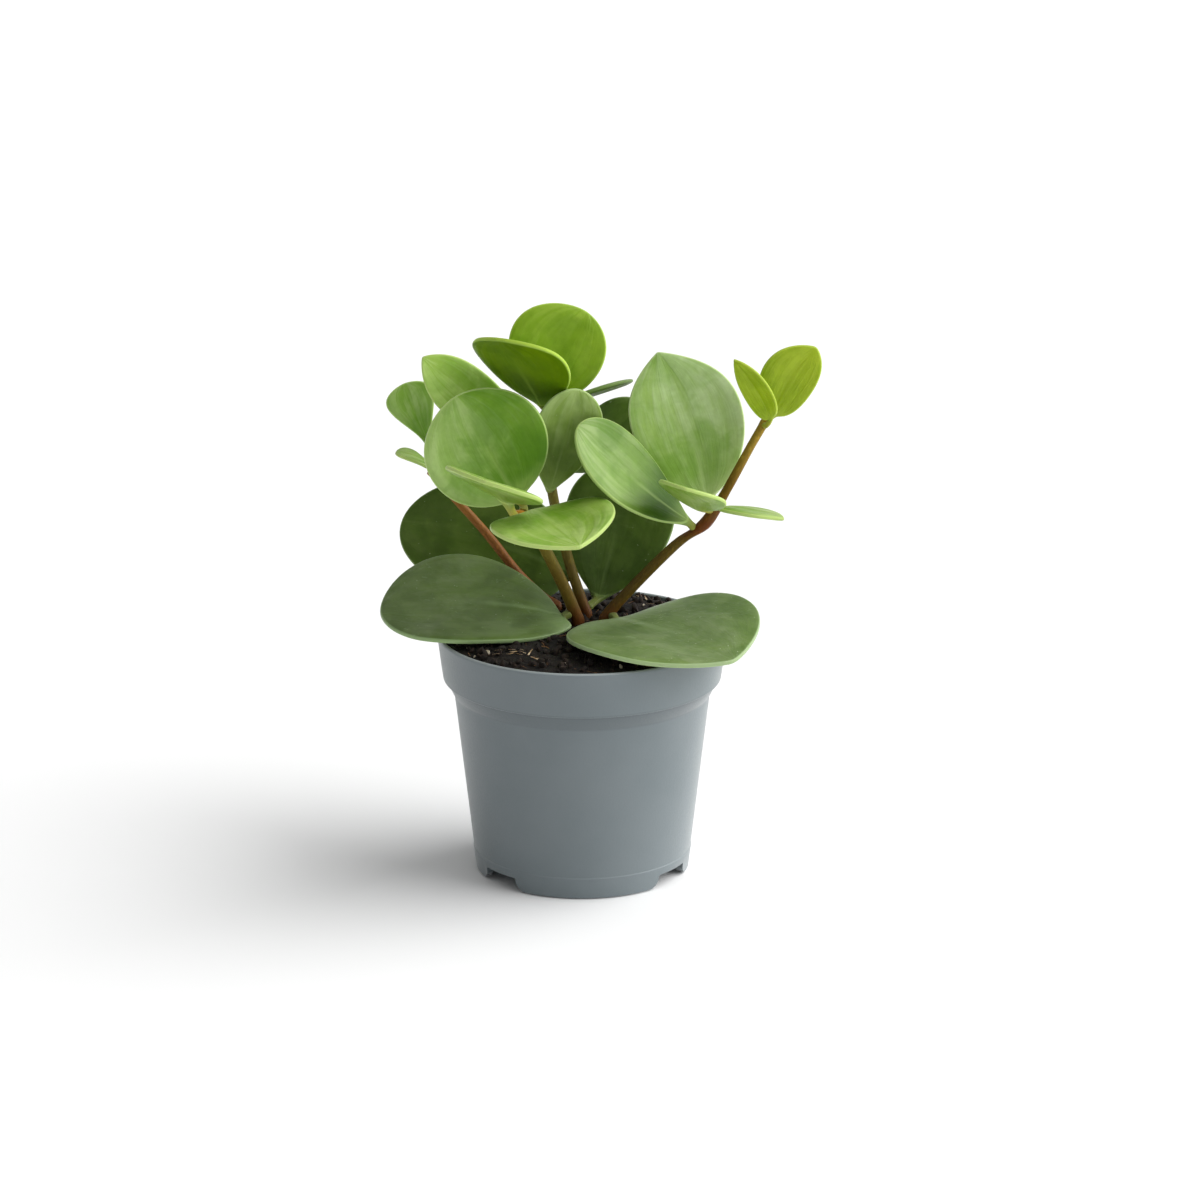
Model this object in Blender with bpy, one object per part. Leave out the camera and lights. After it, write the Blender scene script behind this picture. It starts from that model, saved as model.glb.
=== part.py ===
"""Potted peperomia: a young plant with thick round leaves in a small plastic nursery pot.

The plant is laid out round the pot's axis, with -Y towards the viewer and the ground at
z = 0. One empty then moves it all so that the middle of its bounding box is at x = y = 0.
"""

import math
from typing import NamedTuple

import bmesh
import bpy
from mathutils import Vector

MM = 0.001
GAP = 0.3 * MM

# How far the pot's axis lies from the middle of the plant's bounding box
POT_AXIS = Vector((-3.7, -1.6, 0.0)) * MM

# Pot, radii and heights of its outer side
POT_HEIGHT = 51.0 * MM
LIP_RADIUS = 30.0 * MM
BAND_BOTTOM_RADIUS = 28.8 * MM
BAND_BOTTOM = 41.3 * MM
NECK_RADIUS = 26.5 * MM
NECK = 38.2 * MM
FOOT_RADIUS = 22.1 * MM
WALL = 0.9 * MM
FOOT_WALL = 1.6 * MM
FLOOR_UNDERSIDE = 3.4 * MM
FLOOR_THICKNESS = 1.0 * MM
FLOOR_CORNER = 1.2 * MM
BAND_ROUND = 0.8 * MM
POT_SIDES = 72

# Notches that cut the foot into four, measured from the middle of the front foot
FRONT_FOOT_TURN = math.radians(3.6)
NOTCH_CENTRES = (-127.0, -53.0, 53.0, 127.0)
NOTCH_WIDTH = 9.2 * MM
NOTCH_HEIGHT = 3.0 * MM
NOTCH_CORNER = 0.8 * MM
NOTCH_CUT_DEPTH = 8.0 * MM
DRAIN_HOLES = 5
DRAIN_HOLE_RADIUS = 2.5 * MM
DRAIN_CIRCLE_RADIUS = 13.0 * MM

# Soil
SOIL_EDGE_HEIGHT = 50.0 * MM
SOIL_CROWN = 1.2 * MM
SOIL_HEAP = 2.0 * MM
SOIL_HEAP_AT = Vector((11.0, 15.0, 0.0)) * MM
SOIL_HEAP_SPREAD = 8.0 * MM
SOIL_WAVE = 0.35 * MM
SOIL_SIDES = 48
SOIL_RINGS = 9
SOIL_EASE = 0.2 * MM

# Stems stand upright in their holes up to where they start to lean
ROOT_BOTTOM = 38.0 * MM
HOLE_DRILL_TOP = 60.0 * MM
UPRIGHT_TO = 52.0 * MM
STEM_SAMPLES = 4

# Leaves
BLADE_RINGS = 11
RING_POINTS = 12
STALK_RINGS = 2
BLADE_HALF_THICKNESS = 0.8 * MM
STALK_RADIUS = 0.8 * MM
EDGE_ROUNDNESS = 0.6


def at(x, y, z):
    """A point given in millimetres from the foot of the pot's axis."""
    return Vector((x, y, z)) * MM


class Stem(NamedTuple):
    root: tuple
    points: tuple
    radii: tuple
    bud: float = 1.0


class Leaf(NamedTuple):
    stem: str
    base: tuple
    tip: tuple
    width: float
    face: tuple
    age: str
    cup: float = 1.0
    arch: float = 0.5
    widest: float = 1.0
    point: float = 0.2
    sweep: float = 0.0
    lobe: float = 0.0


# Each stem: where it stands, the points it passes and its radius from the root upwards
STEMS = {
    "stem_left": Stem(
        root=(-5.0, 13.5),
        points=(
            (-8.8, 17.4, 53.6), (-14.0, 19.0, 58.3), (-20.1, 18.8, 66.4), (-27.5, 17.5, 75.4),
            (-30.8, 17.0, 79.4),
        ),
        radii=(1.2, 1.2, 1.2, 1.2, 1.15, 1.15),
    ),
    "stem_front": Stem(
        root=(-0.8, 2.2),
        points=((-1.6, 1.8, 54.6), (-4.0, 0.5, 60.8), (-9.0, -2.5, 72.0), (-12.2, -4.2, 77.0)),
        radii=(1.4, 1.4, 1.4, 1.35, 1.3),
    ),
    "stem_middle": Stem(
        root=(1.0, 6.6),
        points=(
            (-0.1, 6.8, 55.4), (-2.9, 7.5, 64.1), (-6.0, 9.0, 77.1), (-7.4, 10.5, 89.0),
            (-6.9, 11.0, 95.8),
        ),
        radii=(1.2, 1.2, 1.15, 1.1, 1.1, 1.1),
    ),
    "stem_right": Stem(
        root=(4.6, 3.0),
        points=(
            (8.8, 3.1, 57.6), (19.4, 2.5, 68.8), (24.8, 2.0, 72.8), (29.1, 1.8, 79.5),
            (34.3, 1.5, 89.5), (37.1, 2.0, 94.4),
        ),
        radii=(1.6, 1.55, 1.5, 1.8, 1.1, 1.0, 1.05),
        bud=2.3,
    ),
}

# Each leaf: its stem, where the blade begins and ends, its width and the way it faces
LEAVES = {
    "leaf_low_left": Leaf(
        "stem_front", (-4.2, 0.4, 53.5), (-41.6, -4.0, 56.0), 31.0, (0.0, -0.35, 1), "old",
        cup=1.5, arch=0.7, widest=1.15, point=0.15, sweep=3.0, lobe=-3.4,
    ),
    "leaf_low_right": Leaf(
        "stem_right", (7.3, -0.6, 53.0), (30.6, -25.2, 52.1), 42.0, (0.25, -0.36, 1), "old",
        cup=2.0, arch=1.2, widest=0.8, point=0.5, sweep=-0.2, lobe=4.0,
    ),
    "leaf_low_back_left": Leaf(
        "stem_middle", (-2.6, 23.4, 56.3), (-38.4, 27.0, 66.3), 25.2, (0.1, -1, 0.45), "old",
        cup=1.5, arch=1.0, widest=0.97, point=0.0, sweep=1.4,
    ),
    "leaf_low_back_right": Leaf(
        "stem_middle", (3.4, 12.0, 54.2), (10.8, 20.0, 81.6), 23.0, (0.0, -1, 0.4), "old",
        cup=1.5, arch=1.0, widest=1.4,
    ),
    "leaf_left_up": Leaf(
        "stem_left", (-31.0, 17.8, 84.2), (-36.9, 20.0, 98.5), 10.4, (-0.2, -1, 0.3), "grown",
        widest=3.0,
    ),
    "leaf_left_small": Leaf(
        "stem_left", (-32.0, 15.0, 82.0), (-38.7, 13.0, 85.2), 7.4, (0.1, -0.1, 1), "young",
        cup=0.5, point=0.3,
    ),
    "leaf_left_back": Leaf(
        "stem_left", (-28.0, 21.2, 80.2), (-22.5, 33.0, 86.0), 16.0, (0.1, -0.8, 0.8), "grown",
        widest=1.2, point=0.3,
    ),
    "leaf_front_disc": Leaf(
        "stem_front", (-13.3, -3.4, 80.3), (-25.8, -1.0, 101.2), 26.0, (0.0, -1, 0.3), "grown",
        arch=0.0, point=0.1,
    ),
    "leaf_front_edge_on": Leaf(
        "stem_front", (-15.4, -6.8, 80.9), (-19.6, -22.0, 89.0), 21.6, (0.35, 0.38, 0.84),
        "grown", cup=0.4, arch=0.6, widest=1.4, point=0.5,
    ),
    "leaf_front_level": Leaf(
        "stem_front", (-9.9, -8.0, 78.6), (-0.4, -28.0, 76.9), 26.2, (-0.05, -0.2, 1), "grown",
        cup=1.8, widest=0.85, point=0.8,
    ),
    "leaf_middle_olive": Leaf(
        "stem_middle", (-6.8, 5.5, 79.4), (-0.9, 1.2, 102.2), 14.4, (0.3, -1, 0.0), "grown",
        widest=1.5, point=0.1,
    ),
    "leaf_middle_back": Leaf(
        "stem_middle", (-2.6, 11.5, 82.0), (12.5, 18.0, 95.0), 11.4, (0.2, -1, 0.5), "old",
        widest=1.2,
    ),
    "leaf_top_back": Leaf(
        "stem_middle", (-9.8, 15.4, 96.8), (0.6, 20.6, 114.0), 20.4, (0.0, -1, 0.2), "young",
        widest=1.1, point=0.1, sweep=-1.2,
    ),
    "leaf_top_front": Leaf(
        "stem_middle", (-8.1, 8.2, 97.2), (-16.5, -3.4, 113.7), 22.6, (0.65, 1, 0.8), "young",
        cup=1.5, widest=1.3,
    ),
    "leaf_top_left": Leaf(
        "stem_middle", (-13.5, 12.5, 90.5), (-32.9, 12.0, 106.1), 11.8, (0.0, -1, 0.25), "grown",
        widest=1.1, point=0.6, sweep=-0.6,
    ),
    "leaf_top_side": Leaf(
        "stem_middle", (-3.0, 12.6, 96.5), (10.6, 15.0, 100.4), 10.0, (0.0, 0.35, 1), "grown",
        cup=0.3, arch=0.0, widest=0.9, point=0.3,
    ),
    "leaf_right_big": Leaf(
        "stem_right", (25.6, 4.8, 77.6), (15.5, 12.0, 107.2), 23.4, (0.1, -1, 0.2), "grown",
        cup=1.2, widest=1.1, point=0.8, sweep=1.3,
    ),
    "leaf_right_inner": Leaf(
        "stem_right", (21.9, 0.3, 74.0), (-1.1, -3.0, 95.2), 17.4, (0.6, -0.56, 0.57), "grown",
        cup=1.2, widest=1.6, point=0.1, sweep=-1.9,
    ),
    "leaf_right_front": Leaf(
        "stem_right", (23.8, -2.4, 77.9), (20.4, -17.0, 86.2), 14.5, (0.3, 0.25, 1), "grown",
        cup=0.8, point=0.4,
    ),
    "leaf_right_outer": Leaf(
        "stem_right", (28.8, -0.8, 77.4), (41.2, -8.0, 77.1), 11.0, (0.0, 0.2, 1), "grown",
        cup=0.2, arch=0.2, widest=0.8, point=0.8,
    ),
    "leaf_tip_small": Leaf(
        "stem_right", (38.6, -0.4, 96.2), (30.8, -2.0, 109.2), 6.2, (-0.6, -1, 0.3), "young",
        cup=0.8, arch=0.3, widest=0.8, point=0.7, sweep=0.9,
    ),
    "leaf_tip_big": Leaf(
        "stem_right", (38.9, 4.0, 96.0), (47.8, 5.0, 110.0), 11.6, (0.2, -1, 0.2), "young",
        cup=0.8, arch=0.3, point=0.4, sweep=-1.5,
    ),
}

COLOURS = {
    "plastic": ((0.20, 0.25, 0.27, 1.0), 0.5),
    "peat": ((0.030, 0.018, 0.012, 1.0), 0.95),
    "stem": ((0.22, 0.11, 0.045, 1.0), 0.45),
    "old": ((0.060, 0.110, 0.035, 1.0), 0.4),
    "grown": ((0.15, 0.29, 0.065, 1.0), 0.4),
    "young": ((0.24, 0.40, 0.035, 1.0), 0.4),
}


def clear_scene():
    for obj in list(bpy.data.objects):
        bpy.data.objects.remove(obj, do_unlink=True)


def make_materials():
    materials = {}
    for name, (colour, roughness) in COLOURS.items():
        material = bpy.data.materials.new(name)
        material.use_nodes = True
        shader = material.node_tree.nodes["Principled BSDF"]
        shader.inputs["Base Color"].default_value = colour
        shader.inputs["Roughness"].default_value = roughness
        shader.inputs["Metallic"].default_value = 0.0
        materials[name] = material
    return materials


def add_object(name, data, material, centre):
    obj = bpy.data.objects.new(name, data)
    bpy.context.scene.collection.objects.link(obj)
    data.materials.append(material)
    obj.parent = centre
    return obj


def mesh_from(bm, name):
    bmesh.ops.recalc_face_normals(bm, faces=bm.faces)
    mesh = bpy.data.meshes.new(name)
    bm.to_mesh(mesh)
    bm.free()
    mesh.shade_smooth()
    mesh.set_sharp_from_angle(angle=math.radians(35))
    return mesh


def cut(obj, cutter):
    """Take the cutter's shape out of the object with a Boolean that stays on it."""
    cutter.hide_render = True
    cutter.display_type = "WIRE"
    modifier = obj.modifiers.new("cut " + cutter.name, "BOOLEAN")
    modifier.operation = "DIFFERENCE"
    modifier.solver = "EXACT"
    modifier.object = cutter


def arc(centre_r, centre_z, radius, start, end, steps):
    """Points (r, z) of an arc between two angles in degrees."""
    points = []
    for step in range(steps + 1):
        angle = math.radians(start + (end - start) * step / steps)
        points.append((centre_r + radius * math.cos(angle), centre_z + radius * math.sin(angle)))
    return points


def wall_radius(z):
    """Outer radius of the pot at a height, without the roundings."""
    if z <= NECK:
        return FOOT_RADIUS + (NECK_RADIUS - FOOT_RADIUS) * z / NECK
    if z <= BAND_BOTTOM:
        share = (z - NECK) / (BAND_BOTTOM - NECK)
        return NECK_RADIUS + (BAND_BOTTOM_RADIUS - NECK_RADIUS) * share
    share = (z - BAND_BOTTOM) / (POT_HEIGHT - BAND_BOTTOM)
    return BAND_BOTTOM_RADIUS + (LIP_RADIUS - BAND_BOTTOM_RADIUS) * share


def pot_profile():
    """(r, z) from the floor's middle up the inner side, over the lip and down the outer side."""
    floor_top = FLOOR_UNDERSIDE + FLOOR_THICKNESS
    lip_round = WALL / 2
    inner = [
        (0.0, floor_top),
        (wall_radius(floor_top) - WALL - FLOOR_CORNER, floor_top),
        (wall_radius(floor_top) - WALL, floor_top + FLOOR_CORNER),
        (wall_radius(NECK) - WALL, NECK + 0.3 * MM),
        (wall_radius(BAND_BOTTOM) - WALL, BAND_BOTTOM + 0.3 * MM),
    ]
    lip = arc(LIP_RADIUS - lip_round, POT_HEIGHT - lip_round, lip_round, 180, 0, 4)
    band = arc(BAND_BOTTOM_RADIUS - BAND_ROUND, BAND_BOTTOM + BAND_ROUND, BAND_ROUND, 0, -60, 3)
    outer = [
        (NECK_RADIUS + 0.5 * MM, NECK + 0.7 * MM),
        (NECK_RADIUS - 0.03 * MM, NECK - 0.5 * MM),
        (wall_radius(floor_top), floor_top),
        (FOOT_RADIUS, 0.0),
        (FOOT_RADIUS - FOOT_WALL, 0.0),
        (wall_radius(FLOOR_UNDERSIDE) - FOOT_WALL, FLOOR_UNDERSIDE),
        (0.0, FLOOR_UNDERSIDE),
    ]
    return inner + lip + band + outer


def make_pot(material, centre):
    bm = bmesh.new()
    previous = None
    for r, z in pot_profile():
        vertex = bm.verts.new((r, 0.0, z))
        if previous is not None:
            bm.edges.new((previous, vertex))
        previous = vertex
    mesh = bpy.data.meshes.new("pot")
    bm.to_mesh(mesh)
    bm.free()
    pot = add_object("pot", mesh, material, centre)
    screw = pot.modifiers.new("turn", "SCREW")
    screw.angle = 2 * math.pi
    screw.steps = POT_SIDES
    screw.render_steps = POT_SIDES
    screw.use_merge_vertices = True
    screw.merge_threshold = 0.00001
    screw.use_smooth_shade = True

    for number, degrees in enumerate(NOTCH_CENTRES):
        turn = math.radians(degrees) + FRONT_FOOT_TURN - math.pi / 2
        bm = bmesh.new()
        bmesh.ops.create_cube(bm, size=1.0)
        bmesh.ops.scale(bm, vec=(NOTCH_CUT_DEPTH, NOTCH_WIDTH, 2 * NOTCH_HEIGHT), verts=bm.verts)
        cutter_mesh = bpy.data.meshes.new("notch")
        bm.to_mesh(cutter_mesh)
        bm.free()
        cutter = add_object(f"notch_cutter_{number + 1}", cutter_mesh, material, centre)
        cutter.location = (FOOT_RADIUS * math.cos(turn), FOOT_RADIUS * math.sin(turn), 0.0)
        cutter.rotation_euler = (0.0, 0.0, turn)
        bevel = cutter.modifiers.new("corners", "BEVEL")
        bevel.width = NOTCH_CORNER
        bevel.segments = 3
        cut(pot, cutter)

    for number in range(DRAIN_HOLES):
        turn = 2 * math.pi * number / DRAIN_HOLES - math.pi / 2
        x = DRAIN_CIRCLE_RADIUS * math.cos(turn)
        y = DRAIN_CIRCLE_RADIUS * math.sin(turn)
        depth = 4 * FLOOR_THICKNESS
        middle = FLOOR_UNDERSIDE + FLOOR_THICKNESS / 2
        cutter = make_drill(f"drain_cutter_{number + 1}", DRAIN_HOLE_RADIUS, depth, material, centre)
        cutter.location = (x, y, middle)
        cut(pot, cutter)
    return pot


def make_drill(name, radius, depth, material, centre):
    bm = bmesh.new()
    bmesh.ops.create_cone(
        bm, cap_ends=True, segments=20, radius1=radius, radius2=radius, depth=depth
    )
    return add_object(name, mesh_from(bm, name), material, centre)


def soil_height(x, y):
    """Height of the soil's surface: low at the wall, heaped behind the stems and uneven."""
    inner = wall_radius(SOIL_EDGE_HEIGHT) - WALL
    share = min(1.0, math.hypot(x, y) / inner)
    heap_distance = math.hypot(x - SOIL_HEAP_AT.x, y - SOIL_HEAP_AT.y)
    heap = SOIL_HEAP * math.exp(-((heap_distance / SOIL_HEAP_SPREAD) ** 2))
    wave = SOIL_WAVE * math.sin(x / (2.1 * MM) + 1.0) * math.sin(y / (1.7 * MM) + 0.4)
    return SOIL_EDGE_HEIGHT + (SOIL_CROWN + heap + wave) * (1 - share**4)


def make_soil(material, centre):
    floor = FLOOR_UNDERSIDE + FLOOR_THICKNESS + GAP
    side_heights = (floor + FLOOR_CORNER, NECK, BAND_BOTTOM + 2 * GAP)
    rings = []
    bm = bmesh.new()
    top_radius = wall_radius(SOIL_EDGE_HEIGHT) - WALL - GAP
    for ring in range(1, SOIL_RINGS + 1):
        radius = top_radius * ring / SOIL_RINGS
        row = []
        for side in range(SOIL_SIDES):
            turn = 2 * math.pi * side / SOIL_SIDES
            x = radius * math.cos(turn)
            y = radius * math.sin(turn)
            row.append(bm.verts.new((x, y, soil_height(x, y))))
        rings.append(row)
    for height in reversed(side_heights):
        radius = wall_radius(height) - WALL - GAP - SOIL_EASE
        rings.append(ring_of(bm, radius, height))
    rings.append(ring_of(bm, wall_radius(floor) - WALL - GAP - FLOOR_CORNER, floor))
    middle = bm.verts.new((0.0, 0.0, soil_height(0.0, 0.0)))
    for side in range(SOIL_SIDES):
        bm.faces.new((middle, rings[0][side - 1], rings[0][side]))
    for inner, outer in zip(rings, rings[1:]):
        for side in range(SOIL_SIDES):
            bm.faces.new((inner[side - 1], outer[side - 1], outer[side], inner[side]))
    bm.faces.new(list(reversed(rings[-1])))
    soil = add_object("soil", mesh_from(bm, "soil"), material, centre)

    for name, stem in STEMS.items():
        depth = HOLE_DRILL_TOP - ROOT_BOTTOM
        drill = make_drill(f"hole_{name}", stem.radii[0] * MM + GAP, depth, material, centre)
        x, y = stem.root
        drill.location = at(x, y, 0) + Vector((0, 0, ROOT_BOTTOM + depth / 2))
        cut(soil, drill)
    return soil


def ring_of(bm, radius, height):
    row = []
    for side in range(SOIL_SIDES):
        turn = 2 * math.pi * side / SOIL_SIDES
        row.append(bm.verts.new((radius * math.cos(turn), radius * math.sin(turn), height)))
    return row


def smooth_between(before, start, end, after, share):
    """A Catmull-Rom curve's value between start and end."""
    return (
        start * 2
        + (end - before) * share
        + (before * 2 - start * 5 + end * 4 - after) * share**2
        + (start * 3 - before - end * 3 + after) * share**3
    ) * 0.5


def stem_line(stem):
    """(point, radius) along the middle of a stem, from its root's end upwards."""
    x, y = stem.root
    line = [
        (at(x, y, 0) + Vector((0, 0, ROOT_BOTTOM + GAP)), stem.radii[0] * MM),
        (at(x, y, 0) + Vector((0, 0, UPRIGHT_TO)), stem.radii[0] * MM),
    ]
    knots = [line[-1][0]] + [at(*point) for point in stem.points]
    radii = [radius * MM for radius in stem.radii]
    before_first = knots[0] - Vector((0, 0, 6 * MM))
    after_last = knots[-1] * 2 - knots[-2]
    padded = [before_first] + knots + [after_last]
    for piece in range(len(knots) - 1):
        for step in range(1, STEM_SAMPLES + 1):
            share = step / STEM_SAMPLES
            point = smooth_between(*padded[piece : piece + 4], share)
            radius = radii[piece] + (radii[piece + 1] - radii[piece]) * share
            line.append((point, radius))
    return line


def make_stem(name, stem, material, centre):
    line = stem_line(stem)
    last_point, last_radius = line[-1]
    ahead = (last_point - line[-2][0]).normalized()
    # The growing tip: a small bud on the stem that goes on, a blunt end on the others
    for reach, swell in ((0.25, 1.1), (0.55, 1.05), (0.85, 0.75), (1.0, 0.3)):
        line.append((last_point + ahead * reach * stem.bud * last_radius, last_radius * swell))
    curve = bpy.data.curves.new(name, "CURVE")
    curve.dimensions = "3D"
    curve.bevel_depth = 1.0
    curve.bevel_resolution = 3
    curve.use_fill_caps = True
    curve.render_resolution_u = 0
    spline = curve.splines.new("POLY")
    spline.points.add(len(line) - 1)
    for spline_point, (point, radius) in zip(spline.points, line):
        spline_point.co = (*point, 1.0)
        spline_point.radius = radius
    return add_object(name, curve, material, centre)


def nearest_on(line, target):
    """(point, radius, direction) on a stem's middle line that lies nearest to the target."""
    best = None
    for (start, start_radius), (end, end_radius) in zip(line, line[1:]):
        along = end - start
        share = max(0.0, min(1.0, (target - start).dot(along) / along.length_squared))
        point = start + along * share
        distance = (target - point).length
        if best is None or distance < best[0]:
            radius = start_radius + (end_radius - start_radius) * share
            best = (distance, point, radius, along.normalized())
    return best[1:]


def make_leaf(name, leaf, material, centre):
    base = at(*leaf.base)
    tip = at(*leaf.tip)
    along = (tip - base).normalized()
    length = (tip - base).length
    face = Vector(leaf.face)
    normal = (face - along * face.dot(along)).normalized()
    side = along.cross(normal)
    half_width = leaf.width * MM / 2
    slimness = min(1.0, 0.6 + leaf.width / 60)
    half_thickness = BLADE_HALF_THICKNESS * slimness
    stalk_radius = STALK_RADIUS * slimness

    bm = bmesh.new()
    rings = stalk_rings(bm, leaf, base, along, side, normal, stalk_radius)
    for step in range(1, BLADE_RINGS):
        angle = math.pi * step / BLADE_RINGS
        share = ((1 - math.cos(angle)) / 2) ** (1 / leaf.widest)
        sharpen = 1 + leaf.point * max(0.0, (share - 0.6) / 0.4)
        half = max(half_width * math.sin(angle) ** sharpen, stalk_radius * (1 - share))
        bow = 1 - (2 * share - 1) ** 2
        spine = base + along * length * share
        spine += normal * leaf.arch * MM * bow + side * leaf.sweep * MM * bow
        thickness = half_thickness * (1 - 0.25 * share)
        lobe_side = math.copysign(1.0, leaf.lobe)
        lobe_reach = abs(leaf.lobe) * MM * (1 - share) ** 4
        row = []
        for index in range(RING_POINTS):
            turn = 2 * math.pi * index / RING_POINTS
            across = math.cos(turn)
            rise = abs(math.sin(turn)) ** EDGE_ROUNDNESS
            if math.sin(turn) < 0:
                rise = -rise
            lift = leaf.cup * MM * (half * across / half_width) ** 2
            back = lobe_reach * max(0.0, across * lobe_side) ** 1.5
            offset = side * half * across - along * back + normal * (lift + thickness * rise)
            row.append(bm.verts.new(spine + offset))
        rings.append(row)

    bm.faces.new(list(reversed(rings[0])))
    for lower, upper in zip(rings, rings[1:]):
        join_rings(bm, lower, upper)
    tip_vertex = bm.verts.new(tip)
    for index in range(RING_POINTS):
        bm.faces.new((rings[-1][index - 1], rings[-1][index], tip_vertex))
    return add_object(name, mesh_from(bm, name), material, centre)


def stalk_rings(bm, leaf, base, along, side, normal, radius):
    """Rings of the round stalk, from its seat on the stem to where the blade begins."""
    line = stem_line(STEMS[leaf.stem])
    on_stem, stem_radius, stem_direction = nearest_on(line, base)
    outwards = base - on_stem
    outwards -= stem_direction * outwards.dot(stem_direction)
    outwards = outwards.normalized()
    seat = on_stem + outwards * (stem_radius + GAP)
    reach = (base - seat).length
    controls = (seat, seat + outwards * reach * 0.4, base)
    # The ring where the blade begins already faces along it, so that no two rings cross
    frames = [(base, along, side)]
    for step in reversed(range(STALK_RINGS)):
        share = step / STALK_RINGS
        first = controls[0].lerp(controls[1], share)
        second = controls[1].lerp(controls[2], share)
        point = first.lerp(second, share)
        tangent = (second - first).normalized()
        turn = frames[-1][1].rotation_difference(tangent)
        frames.append((point, tangent, turn @ frames[-1][2]))
    rings = []
    for point, tangent, across in reversed(frames):
        up = across.cross(tangent)
        row = []
        for index in range(RING_POINTS):
            turn = 2 * math.pi * index / RING_POINTS
            offset = across * math.cos(turn) + up * math.sin(turn)
            row.append(bm.verts.new(point + offset * radius))
        rings.append(row)
    return rings


def join_rings(bm, lower, upper):
    """Two triangles for each quad, split the same way on the blade's upper and lower face."""
    quarter = RING_POINTS // 4
    for index in range(RING_POINTS):
        following = (index + 1) % RING_POINTS
        if (index // quarter) % 2 == 0:
            bm.faces.new((lower[index], lower[following], upper[following]))
            bm.faces.new((lower[index], upper[following], upper[index]))
        else:
            bm.faces.new((lower[index], lower[following], upper[index]))
            bm.faces.new((lower[following], upper[following], upper[index]))


def main():
    clear_scene()
    materials = make_materials()
    centre = bpy.data.objects.new("pot_axis", None)
    centre.location = POT_AXIS
    bpy.context.scene.collection.objects.link(centre)
    make_pot(materials["plastic"], centre)
    make_soil(materials["peat"], centre)
    for name, stem in STEMS.items():
        make_stem(name, stem, materials["stem"], centre)
    for name, leaf in LEAVES.items():
        make_leaf(name, leaf, materials[leaf.age], centre)


main()
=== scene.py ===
"""Potted peperomia: its leaves, stems, soil and nursery pot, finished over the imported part.

Lengths are given in millimetres from the foot of the pot's axis, with -Y towards the camera,
and turned into metres in the part's own frame.
"""

import math
import random
from typing import NamedTuple

import bmesh
import bpy
from mathutils import Matrix, Vector, noise


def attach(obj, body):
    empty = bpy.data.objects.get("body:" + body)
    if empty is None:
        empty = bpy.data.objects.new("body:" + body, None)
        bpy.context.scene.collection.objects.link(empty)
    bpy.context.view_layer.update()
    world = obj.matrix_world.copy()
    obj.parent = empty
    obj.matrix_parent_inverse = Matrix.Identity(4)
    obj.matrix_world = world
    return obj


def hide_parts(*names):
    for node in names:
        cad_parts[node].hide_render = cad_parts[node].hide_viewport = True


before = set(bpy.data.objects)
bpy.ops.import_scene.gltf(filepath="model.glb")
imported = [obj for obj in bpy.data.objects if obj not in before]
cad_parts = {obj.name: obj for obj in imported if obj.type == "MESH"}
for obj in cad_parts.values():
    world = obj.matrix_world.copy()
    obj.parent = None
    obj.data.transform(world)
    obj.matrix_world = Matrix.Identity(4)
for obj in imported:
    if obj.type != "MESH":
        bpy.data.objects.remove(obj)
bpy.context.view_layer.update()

MM = 0.001
POT_AXIS = Vector((-3.7, -1.6, 0.0)) * MM

# Pot, radii and heights of its outer side
POT_HEIGHT = 51.0
LIP_RADIUS = 30.0
BAND_BOTTOM_RADIUS = 28.8
BAND_BOTTOM = 41.3
NECK_RADIUS = 26.5
NECK = 38.2
FOOT_RADIUS = 22.1
WALL = 0.9
FOOT_WALL = 1.6
FLOOR_UNDERSIDE = 3.4
FLOOR_THICKNESS = 1.0
POT_SIDES = 144

# The thin ledge above the feet, and the roundings of the band and of the cut edges
LEDGE = 4.7
LEDGE_REACH = 0.12
BAND_ROUND = 0.4
MOULD_ROUND = 0.16

# Notches that cut the foot into four, measured from the middle of the front foot
FRONT_FOOT_TURN = math.radians(3.6)
NOTCH_CENTRES = (-127.0, -53.0, 53.0, 127.0)
NOTCH_WIDTH = 9.2
NOTCH_HEIGHT = 3.0
NOTCH_CORNER = 0.8
NOTCH_CUT_DEPTH = 8.0

# How much wider a notch is on each side, at heights from the top of its flare down
NOTCH_FLARE = ((0.0, 1.9), (0.25, 1.4), (0.75, 0.8), (1.6, 0.3), (3.0, -0.1))
DRAIN_HOLES = 5
DRAIN_HOLE_RADIUS = 2.5
DRAIN_CIRCLE_RADIUS = 13.0

# Soil: its surface, the size of its roughness and how high the loose bits lie on it
SOIL_EDGE_HEIGHT = 50.0
SOIL_CROWN = 1.2
SOIL_HEAP = 2.0
SOIL_HEAP_AT = (11.0, 15.0)
SOIL_HEAP_SPREAD = 8.0
SOIL_SIDES = 64
SOIL_SHELL = 0.5
GRAIN_SIZE = 1.3
LUMP_SIZE = 3.1
LYING_HEIGHT = 0.35
CRUMB_COUNT = 520
FIBRE_COUNT = 110
PERLITE_COUNT = 18

# Bits of straw that lie in front, between the two low leaves, and a few behind the stems
SPLINTER_SPOTS = (
    (-15.8, -15.6), (-14.6, -16.4), (-13.6, -15.4), (-13.9, -17.4), (-12.8, -16.6), (-12.2, -18.4),
    (-11.4, -17.4), (-10.8, -18.8), (-10.2, -19.6), (-9.4, -20.4), (-8.8, -21.4), (-12.4, -15.2),
    (-16.8, -17.2), (8.4, 16.0), (10.8, 17.6), (13.5, 15.0), (12.2, 16.4), (15.0, 13.0),
)

# Stems stand upright in their holes up to where they start to lean
ROOT_BOTTOM = 38.3
UPRIGHT_TO = 52.0
STEM_SAMPLES = 6
STEM_SIDES = 16

# The rings of a stem's round end: how far out each one lies and how wide it is
BUD_RINGS = ((0.25, 1.1), (0.55, 1.05), (0.85, 0.75), (1.0, 0.3))

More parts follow.
